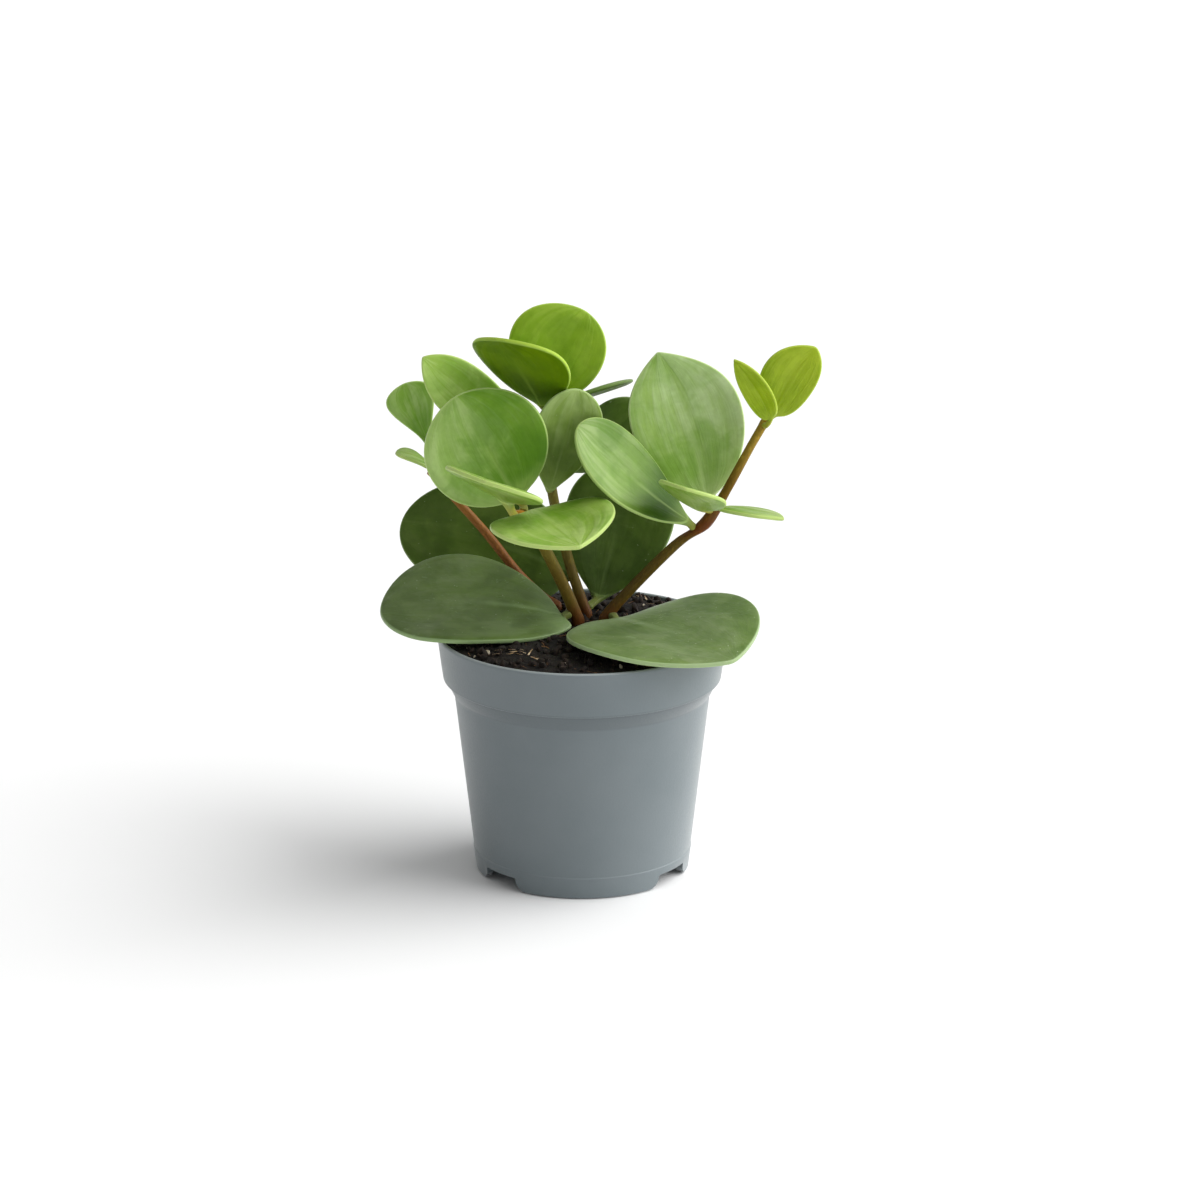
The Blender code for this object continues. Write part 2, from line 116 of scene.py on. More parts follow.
# Leaves: their mesh, the rings of the margin inside the rim, and how thick they are
OUTLINE_POINTS = 32
MARGIN_RINGS = (2.4, 1.1, 0.4, 0.0)
MARGIN_WIDTH = 1.6
BLADE_HALF_THICKNESS = 0.8
EDGE_SHARE = 0.45

# The groove over the midrib, and the ripples and slow waves of a blade
MIDRIB_DEPTH = 0.22
RIPPLE_HEIGHT = 0.07
WAVE_HEIGHT = 0.35

# Stalks: how far they reach into the stem, how far outside it they start to bend, and how far
# the blade stays thick around them
STALK_RADIUS = 0.8
STALK_ROWS = 5
STALK_SINK = 0.35
STALK_STRAIGHT = 0.3
STALK_SHOULDER = 3.5


class Stem(NamedTuple):
    root: tuple
    points: tuple
    radii: tuple
    bark: tuple
    bud: float = 1.0


class Leaf(NamedTuple):
    stem: str
    base: tuple
    tip: tuple
    width: float
    face: tuple
    finish: str
    cup: float = 1.0
    arch: float = 0.5
    widest: float = 1.0
    point: float = 0.2
    sweep: float = 0.0
    lobe: float = 0.0
    tone: float = 1.0
    painted_lean: float = 0.0
    painted_foot_shade: float = 0.0


class Finish(NamedTuple):
    blade: tuple
    bloom_and_sheen: tuple
    shade: tuple
    margin: tuple
    stalk: tuple
    wear: float = 0.05
    veil: float = 0.02


# Each stem: where it stands, the points it passes, its radius from the root upwards, and the
# bark's colour at heights above the ground
STEMS = {
    "stem_left": Stem(
        root=(-5.0, 13.5),
        points=(
            (-8.8, 17.4, 53.6), (-14.0, 19.0, 58.3), (-20.1, 18.8, 66.4), (-27.5, 17.5, 75.4),
            (-30.8, 17.0, 79.4),
        ),
        radii=(1.2, 1.2, 1.2, 1.2, 1.15, 1.15),
        bark=((51, (0.13, 0.045, 0.012)), (60, (0.25, 0.095, 0.022)), (80, (0.32, 0.14, 0.028))),
    ),
    "stem_front": Stem(
        root=(-0.8, 2.2),
        points=((-1.6, 1.8, 54.6), (-4.0, 0.5, 60.8), (-9.0, -2.5, 72.0), (-12.2, -4.2, 77.0)),
        radii=(1.4, 1.4, 1.4, 1.35, 1.3),
        bark=(
            (52, (0.12, 0.042, 0.010)), (59, (0.13, 0.085, 0.012)), (70, (0.17, 0.135, 0.020)),
            (76, (0.55, 0.25, 0.035)),
        ),
    ),
    "stem_middle": Stem(
        root=(1.0, 6.6),
        points=(
            (-0.1, 6.8, 55.4), (-2.9, 7.5, 64.1), (-6.0, 9.0, 77.1), (-7.4, 10.5, 89.0),
            (-6.9, 11.0, 95.8),
        ),
        radii=(1.2, 1.2, 1.15, 1.1, 1.1, 1.1),
        bark=(
            (52, (0.12, 0.042, 0.010)), (60, (0.12, 0.085, 0.012)), (74, (0.15, 0.130, 0.018)),
            (94, (0.24, 0.200, 0.030)),
        ),
    ),
    "stem_right": Stem(
        root=(4.6, 3.0),
        points=(
            (8.8, 3.1, 57.6), (19.4, 2.5, 68.8), (24.8, 2.0, 72.8), (29.1, 1.8, 79.5),
            (34.3, 1.5, 89.5), (37.1, 2.0, 94.4),
        ),
        radii=(1.6, 1.55, 1.5, 1.8, 1.1, 1.0, 1.05),
        bark=(
            (51, (0.13, 0.042, 0.010)), (58, (0.10, 0.062, 0.009)), (69, (0.13, 0.085, 0.011)),
            (73, (0.16, 0.048, 0.008)), (79, (0.18, 0.090, 0.012)), (92, (0.29, 0.190, 0.020)),
        ),
        bud=2.3,
    ),
}

# Each leaf: its stem, where the blade begins and ends, its width, the way it faces, its finish,
# then how it curls and bends, how much lighter or darker it is painted beside its finish (partly
# its own tone, partly painted light and shade), which half is painted paler as if lit while the
# other is painted darker as if shaded (-1 or 1), and how dark a painted shadow lies near its foot
LEAVES = {
    "leaf_low_left": Leaf(
        "stem_front", (-4.2, 0.4, 53.5), (-41.6, -4.0, 56.0), 31.0, (0.0, -0.35, 1), "old",
        cup=1.5, arch=0.7, widest=1.15, point=0.15, sweep=3.0, lobe=-3.4,
    ),
    "leaf_low_right": Leaf(
        "stem_right", (7.3, -0.6, 53.0), (30.6, -25.2, 52.1), 42.0, (0.25, -0.36, 1), "aged",
        cup=2.0, arch=1.2, widest=0.8, point=0.5, sweep=-0.2, lobe=4.0, painted_lean=0.4,
    ),
    "leaf_low_back_left": Leaf(
        "stem_middle", (-2.6, 23.4, 56.3), (-38.4, 27.0, 66.3), 25.2, (0.1, -1, 0.45), "dark",
        cup=1.5, arch=1.0, widest=0.97, point=0.0, sweep=1.4,
    ),
    "leaf_low_back_right": Leaf(
        "stem_middle", (3.4, 12.0, 54.2), (10.8, 20.0, 81.6), 23.0, (0.0, -1, 0.4), "dark",
        cup=1.5, arch=1.0, widest=1.4,
    ),
    "leaf_left_up": Leaf(
        "stem_left", (-31.0, 17.8, 84.2), (-36.9, 20.0, 98.5), 10.4, (-0.2, -1, 0.3), "grown",
        widest=3.0,
    ),
    "leaf_left_small": Leaf(
        "stem_left", (-32.0, 15.0, 82.0), (-38.7, 13.0, 85.2), 7.4, (0.1, -0.1, 1), "bright",
        cup=0.5, point=0.3,
    ),
    "leaf_left_back": Leaf(
        "stem_left", (-28.0, 21.2, 80.2), (-22.5, 33.0, 86.0), 16.0, (0.1, -0.8, 0.8), "grown",
        widest=1.2, point=0.3,
    ),
    "leaf_front_disc": Leaf(
        "stem_front", (-13.3, -3.4, 80.3), (-25.8, -1.0, 101.2), 26.0, (0.0, -1, 0.3), "grown",
        arch=0.0, point=0.1, tone=0.94, painted_lean=-1.0,
    ),
    "leaf_front_edge_on": Leaf(
        "stem_front", (-15.4, -6.8, 80.9), (-19.6, -22.0, 89.0), 21.6, (0.35, 0.38, 0.84),
        "bright", cup=0.4, arch=0.6, widest=1.4, point=0.5, tone=0.94,
    ),
    "leaf_front_level": Leaf(
        "stem_front", (-9.9, -8.0, 78.6), (-0.4, -28.0, 76.9), 26.2, (-0.05, -0.2, 1), "bright",
        cup=1.8, widest=0.85, point=0.8, tone=0.98, painted_lean=0.2,
    ),
    "leaf_middle_olive": Leaf(
        "stem_middle", (-6.8, 5.5, 79.4), (-0.9, 1.2, 102.2), 14.4, (0.3, -1, 0.0), "olive",
        widest=1.5, point=0.1, tone=1.1, painted_lean=-0.4, painted_foot_shade=0.4,
    ),
    "leaf_middle_back": Leaf(
        "stem_middle", (-2.6, 11.5, 82.0), (12.5, 18.0, 95.0), 11.4, (0.2, -1, 0.5), "dark",
        widest=1.2,
    ),
    "leaf_top_back": Leaf(
        "stem_middle", (-9.8, 15.4, 96.8), (0.6, 20.6, 113.9), 20.4, (0.0, -1, 0.2), "young",
        widest=1.1, point=0.1, sweep=-1.2, tone=0.94,
    ),
    "leaf_top_front": Leaf(
        "stem_middle", (-8.1, 8.2, 97.2), (-16.5, -3.4, 113.7), 22.6, (0.65, 1, 0.8), "deep",
        cup=1.5, widest=1.3,
    ),
    "leaf_top_left": Leaf(
        "stem_middle", (-13.5, 12.5, 90.5), (-32.9, 12.0, 106.1), 11.8, (0.0, -1, 0.25), "bright",
        widest=1.1, point=0.6, sweep=-0.6, tone=1.6,
    ),
    "leaf_top_side": Leaf(
        "stem_middle", (-3.0, 12.6, 96.5), (10.6, 15.0, 100.4), 10.0, (0.0, 0.35, 1), "dark",
        cup=0.3, arch=0.0, widest=0.9, point=0.3, tone=1.3,
    ),
    "leaf_right_big": Leaf(
        "stem_right", (25.6, 4.8, 77.6), (15.5, 12.0, 107.2), 23.4, (0.1, -1, 0.2), "frosted_and_sheen",
        cup=1.2, widest=1.1, point=0.8, sweep=1.3, tone=0.96, painted_lean=0.6,
    ),
    "leaf_right_inner": Leaf(
        "stem_right", (21.9, 0.3, 74.0), (-1.1, -3.0, 95.2), 17.4, (0.6, -0.56, 0.57), "grown",
        cup=1.2, widest=1.6, point=0.1, sweep=-1.9, tone=0.72, painted_lean=-0.3, painted_foot_shade=1.0,
    ),
    "leaf_right_front": Leaf(
        "stem_right", (23.8, -2.4, 77.9), (20.4, -17.0, 86.2), 14.5, (0.3, 0.25, 1), "bright",
        cup=0.8, point=0.4,
    ),
    "leaf_right_outer": Leaf(
        "stem_right", (28.8, -0.8, 77.4), (41.2, -8.0, 77.1), 11.0, (0.0, 0.2, 1), "bright",
        cup=0.2, arch=0.2, widest=0.8, point=0.8,
    ),
    "leaf_tip_small": Leaf(
        "stem_right", (38.6, -0.4, 96.2), (30.8, -2.0, 109.2), 6.2, (-0.6, -1, 0.3), "tip",
        cup=0.8, arch=0.3, widest=0.8, point=0.7, sweep=0.9, tone=1.2,
    ),
    "leaf_tip_big": Leaf(
        "stem_right", (38.9, 4.0, 96.0), (47.8, 5.0, 110.0), 11.6, (0.2, -1, 0.2), "tip",
        cup=0.8, arch=0.3, point=0.4, sweep=-1.5,
    ),
}

# Each leaf finish: blade, waxy bloom partly painted as sheen, shaded patches, margin and stalk,
# then how worn it is and how much its wax shows as a pale veil where the blade is seen along its
# surface
FINISHES = {
    "old": Finish((0.088, 0.155, 0.016), (0.160, 0.218, 0.090), (0.046, 0.088, 0.007),
                  (0.28, 0.40, 0.18), (0.17, 0.20, 0.05), wear=0.6, veil=0.10),
    "aged": Finish((0.100, 0.182, 0.016), (0.185, 0.252, 0.095), (0.060, 0.125, 0.007),
                   (0.36, 0.48, 0.24), (0.17, 0.20, 0.05), wear=0.85, veil=0.10),
    "dark": Finish((0.066, 0.124, 0.010), (0.116, 0.178, 0.036), (0.036, 0.076, 0.004),
                   (0.18, 0.27, 0.08), (0.15, 0.18, 0.04), wear=0.4, veil=0.03),
    "grown": Finish((0.180, 0.350, 0.022), (0.390, 0.550, 0.180), (0.096, 0.245, 0.004),
                    (0.46, 0.62, 0.20), (0.33, 0.36, 0.07), veil=0.06),
    # The palest finish, partly its wax and partly a painted sheen
    "frosted_and_sheen": Finish((0.300, 0.460, 0.100), (0.500, 0.640, 0.320), (0.170, 0.340, 0.024),
                      (0.54, 0.68, 0.30), (0.40, 0.44, 0.08), veil=0.14),
    "bright": Finish((0.220, 0.370, 0.032), (0.390, 0.520, 0.160), (0.126, 0.285, 0.006),
                     (0.50, 0.64, 0.20), (0.40, 0.38, 0.06)),
    "olive": Finish((0.190, 0.290, 0.042), (0.300, 0.400, 0.140), (0.110, 0.190, 0.016),
                    (0.34, 0.46, 0.16), (0.26, 0.26, 0.05), wear=0.2, veil=0.10),
    "young": Finish((0.205, 0.360, 0.006), (0.300, 0.460, 0.040), (0.140, 0.280, 0.002),
                    (0.42, 0.58, 0.08), (0.33, 0.34, 0.04)),
    "tip": Finish((0.260, 0.370, 0.004), (0.340, 0.450, 0.024), (0.195, 0.300, 0.002),
                  (0.44, 0.56, 0.06), (0.36, 0.36, 0.03)),
    # Painted shade: the young finish darkened, for an underside lying in its own shade
    "deep": Finish((0.086, 0.165, 0.001), (0.125, 0.212, 0.002), (0.052, 0.112, 0.001),
                   (0.34, 0.50, 0.08), (0.26, 0.26, 0.02), veil=-0.25),
}
LEAF_COLOURS = ("Blade", "Bloom_and_sheen", "Shade", "Margin", "Stalk")
UNDERSIDE_LIFT = 1.12

# A leaf whose underside is painted darker, in its own shade, shows this finish on its upper side
SUNNY_SIDE = {"deep": "young"}

# Colours of single marks, of the pot's plastic with its painted shade and painted highlight,
# the peat and the cracks in the bark
BLACK = (0, 0, 0, 1)
WATER_MARK = (0.55, 0.62, 0.42, 1)
PLASTIC = ((0.148, 0.180, 0.192, 1), (0.164, 0.195, 0.207, 1))
PLASTIC_SHADE = (0.070, 0.088, 0.096, 1)
PLASTIC_PAINTED_HIGHLIGHT = (0.36, 0.40, 0.41, 1)
PEAT = ((0.003, 0.0018, 0.001, 1), (0.015, 0.007, 0.003, 1))
PEAT_FIBRE = (0.12, 0.055, 0.02, 1)
BARK_CRACK = (0.060, 0.018, 0.004, 1)


def at(x, y, z):
    """A point given in millimetres from the foot of the pot's axis."""
    return POT_AXIS + Vector((x, y, z)) * MM


def on_circle(radius, turn, z):
    """A point on a circle round the pot's axis."""
    return at(radius * math.cos(turn), radius * math.sin(turn), z)


# Modelling by hand: what is added, picked, stretched and finished

def drop_selection():
    if bpy.context.object and bpy.context.object.mode != "OBJECT":
        bpy.ops.object.mode_set(mode="OBJECT")
    bpy.ops.object.select_all(action="DESELECT")


def make_active(obj):
    drop_selection()
    obj.select_set(True)
    bpy.context.view_layer.objects.active = obj


def settle(obj):
    """Puts the object's place into its mesh, so that the object sits at the origin."""
    make_active(obj)
    bpy.ops.object.transform_apply(location=True, rotation=True, scale=True)


def add_primitive(add, name, **settings):
    """Adds a primitive where nothing else is selected, and puts its place into its mesh."""
    drop_selection()
    add(**settings)
    piece = bpy.context.object
    piece.name = name
    settle(piece)
    return piece


def start_editing(obj, mode="VERT"):
    """Enters edit mode with the whole mesh selected."""
    make_active(obj)
    bpy.ops.object.mode_set(mode="EDIT")
    bpy.ops.mesh.select_mode(type=mode)
    bpy.ops.mesh.select_all(action="SELECT")


def stop_editing():
    bpy.ops.object.mode_set(mode="OBJECT")


def turn_faces_outwards():
    bpy.ops.mesh.select_all(action="SELECT")
    bpy.ops.mesh.normals_make_consistent(inside=False)


def pick(obj, kind, wanted):
    """Selects the "verts" or "faces" that the test wants, and what lies between them."""
    bm = bmesh.from_edit_mesh(obj.data)
    for element in (*bm.faces, *bm.edges, *bm.verts):
        element.select_set(False)
    for element in getattr(bm, kind):
        if wanted(element):
            element.select_set(True)
    bm.select_flush_mode()
    bmesh.update_edit_mesh(obj.data)


def extrude(step, factors, centre):
    """Extrudes what is selected by a step and resizes the new end about a centre."""
    bpy.ops.mesh.extrude_region_move(TRANSFORM_OT_translate={"value": step})
    bpy.ops.transform.resize(value=factors, center_override=centre)


def modify(obj, name, kind, **settings):
    """Gives the object a modifier and applies it."""
    modifier = obj.modifiers.new(name, kind)
    for key, value in settings.items():
        setattr(modifier, key, value)
    make_active(obj)
    bpy.ops.object.modifier_apply(modifier=modifier.name)


def round_sheet(name, points, radius):
    """A round sheet of quads, left in edit mode with all of it selected."""
    sheet = add_primitive(
        bpy.ops.mesh.primitive_circle_add, name, vertices=points, radius=radius,
        fill_type="NOTHING",
    )
    start_editing(sheet)
    bpy.ops.mesh.fill_grid(span=points // 4, offset=points // 8)
    bpy.ops.mesh.select_all(action="SELECT")
    return sheet


def finish_sheet(sheet):
    """Leaves edit mode with all faces of the sheet pointing up."""
    turn_faces_outwards()
    stop_editing()
    if sheet.data.polygons[0].normal.z < 0:
        sheet.data.flip_normals()


def smooth(obj, degrees=None):
    make_active(obj)
    if degrees is None:
        bpy.ops.object.shade_smooth()
    else:
        bpy.ops.object.shade_smooth_by_angle(angle=math.radians(degrees))


def join(objects, name):
    drop_selection()
    for obj in objects:
        obj.select_set(True)
    bpy.context.view_layer.objects.active = objects[0]
    bpy.ops.object.join()
    joined = bpy.context.object
    joined.name = name
    joined.data.name = name
    return joined


# Materials

def socket_by_name(sockets, name, kind):
    """A colour Mix node has sockets of each kind with one name, so they are found by kind."""
    return next(s for s in sockets if s.name == name and s.type == kind)


class Nodes:
    """Adds nodes to a tree and links them, so that each step of a material is one line."""

    def __init__(self, tree):
        self.tree = tree

    def add(self, kind, **settings):
        node = self.tree.nodes.new(kind)
        for key, value in settings.items():
            setattr(node, key, value)
        return node

    def feed(self, socket, value):
        if isinstance(value, bpy.types.NodeSocket):
            self.tree.links.new(value, socket)
        else:
            socket.default_value = value

    def fill(self, node, values):
        """Feeds a node's inputs by name, with values or other nodes' outputs."""
        for name, value in values.items():
            self.feed(node.inputs[name], value)
        return node.outputs

    def add_fed(self, kind, *values, **settings):
        """Adds a node, feeds its inputs in their order and gives its outputs."""
        node = self.add(kind, **settings)
        for socket, value in zip(node.inputs, values):
            self.feed(socket, value)
        return node.outputs

    def place(self):
        return self.add("ShaderNodeTexCoord").outputs["Object"]

    def attribute(self, name):
        return self.add("ShaderNodeAttribute", attribute_name=name).outputs["Fac"]

    def split(self, vector):
        return self.add_fed("ShaderNodeSeparateXYZ", vector)

    def combine(self, x, y, z):
        return self.add_fed("ShaderNodeCombineXYZ", x, y, z)[0]

    def math(self, operation, *values):
        return self.add_fed("ShaderNodeMath", *values, operation=operation)[0]

    def times(self, first, second):
        return self.math("MULTIPLY", first, second)

    def times_plus(self, first, second, third):
        return self.math("MULTIPLY_ADD", first, second, third)

    def away(self, value, middle):
        """How far a value lies from a middle one, on either side."""
        return self.math("ABSOLUTE", self.math("SUBTRACT", value, middle))

    def stretch(self, vector, scale):
        return self.fill(self.add("ShaderNodeMapping"), {"Vector": vector, "Scale": scale})[0]

    def noise(self, vector, scale, detail=3.0, roughness=0.55, distortion=0.0):
        return self.fill(self.add("ShaderNodeTexNoise"), {
            "Vector": vector, "Scale": scale, "Detail": detail, "Roughness": roughness,
            "Distortion": distortion,
        })["Fac"]

    def spread(self, value, low, high, to_low=0.0, to_high=1.0):
        """A soft step that takes the range from low to high to another range."""
        return self.fill(self.add("ShaderNodeMapRange", interpolation_type="SMOOTHSTEP"), {
            "Value": value, "From Min": low, "From Max": high, "To Min": to_low,
            "To Max": to_high,
        })["Result"]

    def mix(self, share, first, second, blend="MIX"):
        node = self.add("ShaderNodeMix", data_type="RGBA", blend_type=blend)
        self.feed(socket_by_name(node.inputs, "Factor", "VALUE"), share)
        self.feed(socket_by_name(node.inputs, "A", "RGBA"), first)
        self.feed(socket_by_name(node.inputs, "B", "RGBA"), second)
        return socket_by_name(node.outputs, "Result", "RGBA")

    def lighten(self, colour, factor):
        """The colour times a factor that changes over the surface."""
        return self.mix(1.0, colour, self.combine(factor, factor, factor), "MULTIPLY")

    def bump(self, height, distance):
        return self.fill(self.add("ShaderNodeBump"), {
            "Strength": 1.0, "Distance": distance, "Height": height,
        })["Normal"]


def start_group(name, inputs, outputs):
    """A new node group, what adds nodes to it, and the sockets that it is given."""
    group = bpy.data.node_groups.new(name, "ShaderNodeTree")
    for in_out, sockets in (("INPUT", inputs), ("OUTPUT", outputs)):
        for label, kind in sockets.items():
            group.interface.new_socket(label, in_out=in_out, socket_type=f"NodeSocket{kind}")
    nodes = Nodes(group)
    return group, nodes, nodes.add("NodeGroupInput").outputs


def start_material(name):
    material = bpy.data.materials.new(name)
    material.use_nodes = True
    nodes = Nodes(material.node_tree)
    return material, nodes, material.node_tree.nodes["Principled BSDF"]


def make_leaf_skin():
    """Colour, roughness and height of a leaf: waxy bloom with painted sheen, faint streaks,
    scuffs, margin, and painted light and shade.
    """
    group, nodes, given = start_group(
        "leaf skin", {**dict.fromkeys(LEAF_COLOURS, "Color"), "Wear": "Float"},
        {"Color": "Color", "Roughness": "Float", "Height": "Float"},
    )
    place = nodes.place()
    across = nodes.attribute("across")
    along = nodes.attribute("along")
    seed = nodes.attribute("seed")
    # Which half of the blade is painted paler as if lit, and which darker as if shaded
    painted_light_side = nodes.times(across, nodes.attribute("painted_lean"))
    wear = given["Wear"]
    margin = given["Margin"]

    # Streaks run from the stalk to the tip and fan out with the blade
    broad_at = nodes.combine(nodes.times(across, 2.1), nodes.times(along, 0.8), seed)
    broad = nodes.spread(nodes.noise(broad_at, 2.0, 3.0, 0.5, 0.3), 0.40, 0.60)
    fine_at = nodes.combine(nodes.times(across, 6.0), nodes.times(along, 1.6), seed)
    fine = nodes.spread(nodes.noise(fine_at, 1.2, 4.0, 0.62, 0.5), 0.34, 0.68)
    patches = nodes.spread(nodes.noise(place, 130.0, 3.0, 0.55, 0.4), 0.40, 0.64)
    clouds = nodes.spread(nodes.noise(place, 85.0, 4.0, 0.6, 0.6), 0.38, 0.62)
    mottle = nodes.noise(place, 620.0, 4.0, 0.62, 0.3)
    grain = nodes.noise(place, 2300.0, 3.0, 0.6)

    # The outer half of a blade carries more bloom, partly its wax and partly a painted sheen;
    # the foot of it stays fresh green
    outer = nodes.spread(along, 0.05, 0.85, 0.12, 0.80)
    # Worn blades are clouded, fresh ones are banded from the stalk outwards
    cloudiness = nodes.times_plus(wear, 0.7, 0.25)
    banding = nodes.times_plus(nodes.math("SUBTRACT", clouds, broad), cloudiness, broad)
    bloom_and_sheen = nodes.times(nodes.times_plus(banding, 0.85, 0.20), outer)
    bloom_and_sheen = nodes.times_plus(fine, 0.16, bloom_and_sheen)
    # Painted light on one half of the blade
    bloom_and_sheen = nodes.times_plus(painted_light_side, 0.38, bloom_and_sheen)
    colour = nodes.mix(bloom_and_sheen, given["Blade"], given["Bloom_and_sheen"])
    shade = nodes.times(patches, nodes.spread(along, 0.0, 0.8, 0.70, 0.48))
    # Painted shade on the other half of the blade
    shade = nodes.times_plus(painted_light_side, -0.30, shade)
    colour = nodes.mix(shade, colour, given["Shade"])
    # A painted shadow near the foot of the blade, darkened towards black, as if another leaf
    # shaded it
    deep = nodes.times(nodes.spread(along, 0.0, 0.10), nodes.spread(along, 0.24, 0.56, 1, 0))
    deep = nodes.times(deep, nodes.attribute("painted_foot_shade"))
    colour = nodes.mix(deep, colour, nodes.mix(0.4, given["Shade"], BLACK))
    # Random mottling, and the leaf's tone, partly its own and partly painted light and shade over
    # the whole leaf
    tint = nodes.times(nodes.spread(mottle, 0.30, 0.72, 0.95, 1.05), nodes.attribute("tone"))
    colour = nodes.lighten(colour, tint)

    # Scuffs and dried water marks, more of them on the old leaves
    scuffs_at = nodes.stretch(place, (0.55, 1.0, 1.4))
    scuffs = nodes.spread(nodes.noise(scuffs_at, 900.0, 5.0, 0.7, 0.8), 0.56, 0.76)
    where = nodes.spread(nodes.noise(place, 110.0, 2.0, 0.5), 0.45, 0.62)
    scuffs = nodes.times(nodes.times(scuffs, where), wear)
    specks = nodes.spread(nodes.noise(place, 1700.0, 1.0, 0.5), 0.76, 0.80)
    specks = nodes.times(specks, wear)

    # A narrow paler line on the middle near the stalk, the pale foot and the thin pale edge; the
    # lines on the middle and the edge are partly the leaf's own colour and partly a painted
    # highlight
    midrib = nodes.spread(nodes.math("ABSOLUTE", across), 0.0, 0.09, 0.38, 0.0)
    midrib = nodes.times(midrib, nodes.spread(along, 0.05, 0.72, 1.0, 0.0))
    foot = nodes.spread(along, 0.0, 0.20, 0.45, 0.0)
    edge = nodes.spread(nodes.attribute("from_edge"), 0.06 * MM, 0.34 * MM, 0.82, 0.0)
    on_stalk = nodes.spread(along, -0.06, 0.03, 1.0, 0.0)
    for share, over in (
        (scuffs, margin), (specks, WATER_MARK), (midrib, margin), (foot, margin), (edge, margin),
        (on_stalk, given["Stalk"]),
    ):
        colour = nodes.mix(share, colour, over)

    gloss = nodes.spread(patches, 0.0, 1.0, 0.36, 0.44)
    roughness = nodes.math("ADD", gloss, nodes.spread(mottle, 0.3, 0.7, -0.03, 0.03))
    height = nodes.times(banding, 0.60)
    for relief, depth in ((fine, 0.20), (mottle, 0.22), (scuffs, -0.5), (grain, 0.03)):
        height = nodes.times_plus(relief, depth, height)
    nodes.fill(nodes.add("NodeGroupOutput"), {
        "Color": colour, "Roughness": roughness, "Height": height,
    })
    return group


def make_leaf_material(name, colours, finish, skin, lift=1.0):
    """A leaf side's material, whose colours may come from another finish or be lifted."""
    material, nodes, shader = start_material(name)
    look = nodes.add("ShaderNodeGroup", node_tree=skin)
    for label, colour in zip(LEAF_COLOURS, colours):
        look.inputs[label].default_value = (*[min(1.0, part * lift) for part in colour], 1.0)
    look.inputs["Wear"].default_value = finish.wear
    nodes.fill(shader, {
        "Base Color": look.outputs["Color"],
        "Roughness": look.outputs["Roughness"],
        "Normal": nodes.bump(look.outputs["Height"], 0.10 * MM),
        "Specular IOR Level": 0.20 + 0.5 * finish.veil,
        "Sheen Weight": max(0.0, finish.veil),
        "Sheen Roughness": 0.45,
        "Subsurface Weight": 0.12,
        "Subsurface Radius": (0.6, 1.0, 0.25),
        "Subsurface Scale": 1.2 * MM,
    })
    return material


def make_plastic():
    material, nodes, shader = start_material("pot plastic")
    place = nodes.place()
    up = nodes.split(place)["Z"]
    cloud = nodes.spread(nodes.noise(place, 60.0, 3.0, 0.5), 0.3, 0.7)
    grain = nodes.noise(place, 2600.0, 2.0, 0.5)
    # Painted shade darkens the hollow under the band, and painted highlights make the lip and the
    # ledge a little paler
    from_hollow = nodes.away(up, (NECK + BAND_BOTTOM) / 2 * MM)
    painted_hollow_shade = nodes.spread(from_hollow, 1.3 * MM, 2.2 * MM, 0.48, 0)
    lip = nodes.spread(up, (POT_HEIGHT - 0.40) * MM, (POT_HEIGHT - 0.12) * MM, 0, 0.7)
    ledge = nodes.spread(nodes.away(up, LEDGE * MM), 0.08 * MM, 0.22 * MM, 0.14, 0)
    colour = nodes.mix(painted_hollow_shade, nodes.mix(cloud, *PLASTIC), PLASTIC_SHADE)
    colour = nodes.mix(nodes.math("MAXIMUM", lip, ledge), colour, PLASTIC_PAINTED_HIGHLIGHT)
    height = nodes.times_plus(nodes.noise(place, 300.0, 2.0, 0.5), 0.5, grain)
    nodes.fill(shader, {
        "Base Color": colour,
        "Roughness": nodes.spread(grain, 0.3, 0.7, 0.44, 0.56),
        "Normal": nodes.bump(height, 0.02 * MM),
        "Sheen Weight": 0.50,
        "Sheen Roughness": 0.40,
    })
    return material


def make_peat():
    material, nodes, shader = start_material("peat")
    place = nodes.place()
    clumps = nodes.spread(nodes.noise(place, 420.0, 5.0, 0.65), 0.35, 0.7)
    grain = nodes.noise(place, 2400.0, 4.0, 0.65)
    fibres = nodes.spread(grain, 0.66, 0.78, 0, 0.5)
    nodes.fill(shader, {
        "Base Color": nodes.mix(fibres, nodes.mix(clumps, *PEAT), PEAT_FIBRE),
        "Roughness": nodes.spread(grain, 0.3, 0.7, 0.85, 1.0),
        "Normal": nodes.bump(nodes.times_plus(clumps, 1.2, grain), 0.35 * MM),
    })
    return material


def make_crumb_grain():
    """The lumpy colour and height of all that lies loose on the peat."""
    group, nodes, given = start_group(
        "crumb grain", {"Dark": "Color", "Light": "Color"}, {"Color": "Color", "Height": "Float"}
    )
    place = nodes.place()
    lumps = nodes.spread(nodes.noise(place, 900.0, 3.0, 0.6), 0.35, 0.65)
    nodes.fill(nodes.add("NodeGroupOutput"), {
        "Color": nodes.mix(lumps, given["Dark"], given["Light"]),
        "Height": nodes.noise(place, 3200.0, 3.0, 0.6),
    })
    return group


def make_crumb_material(name, grain, dark, light):
    material, nodes, shader = start_material(name)
    look = nodes.fill(
        nodes.add("ShaderNodeGroup", node_tree=grain), {"Dark": (*dark, 1), "Light": (*light, 1)}
    )
    nodes.fill(shader, {
        "Base Color": look["Color"],
        "Roughness": 0.9,
        "Normal": nodes.bump(look["Height"], 0.12 * MM),
    })
    return material


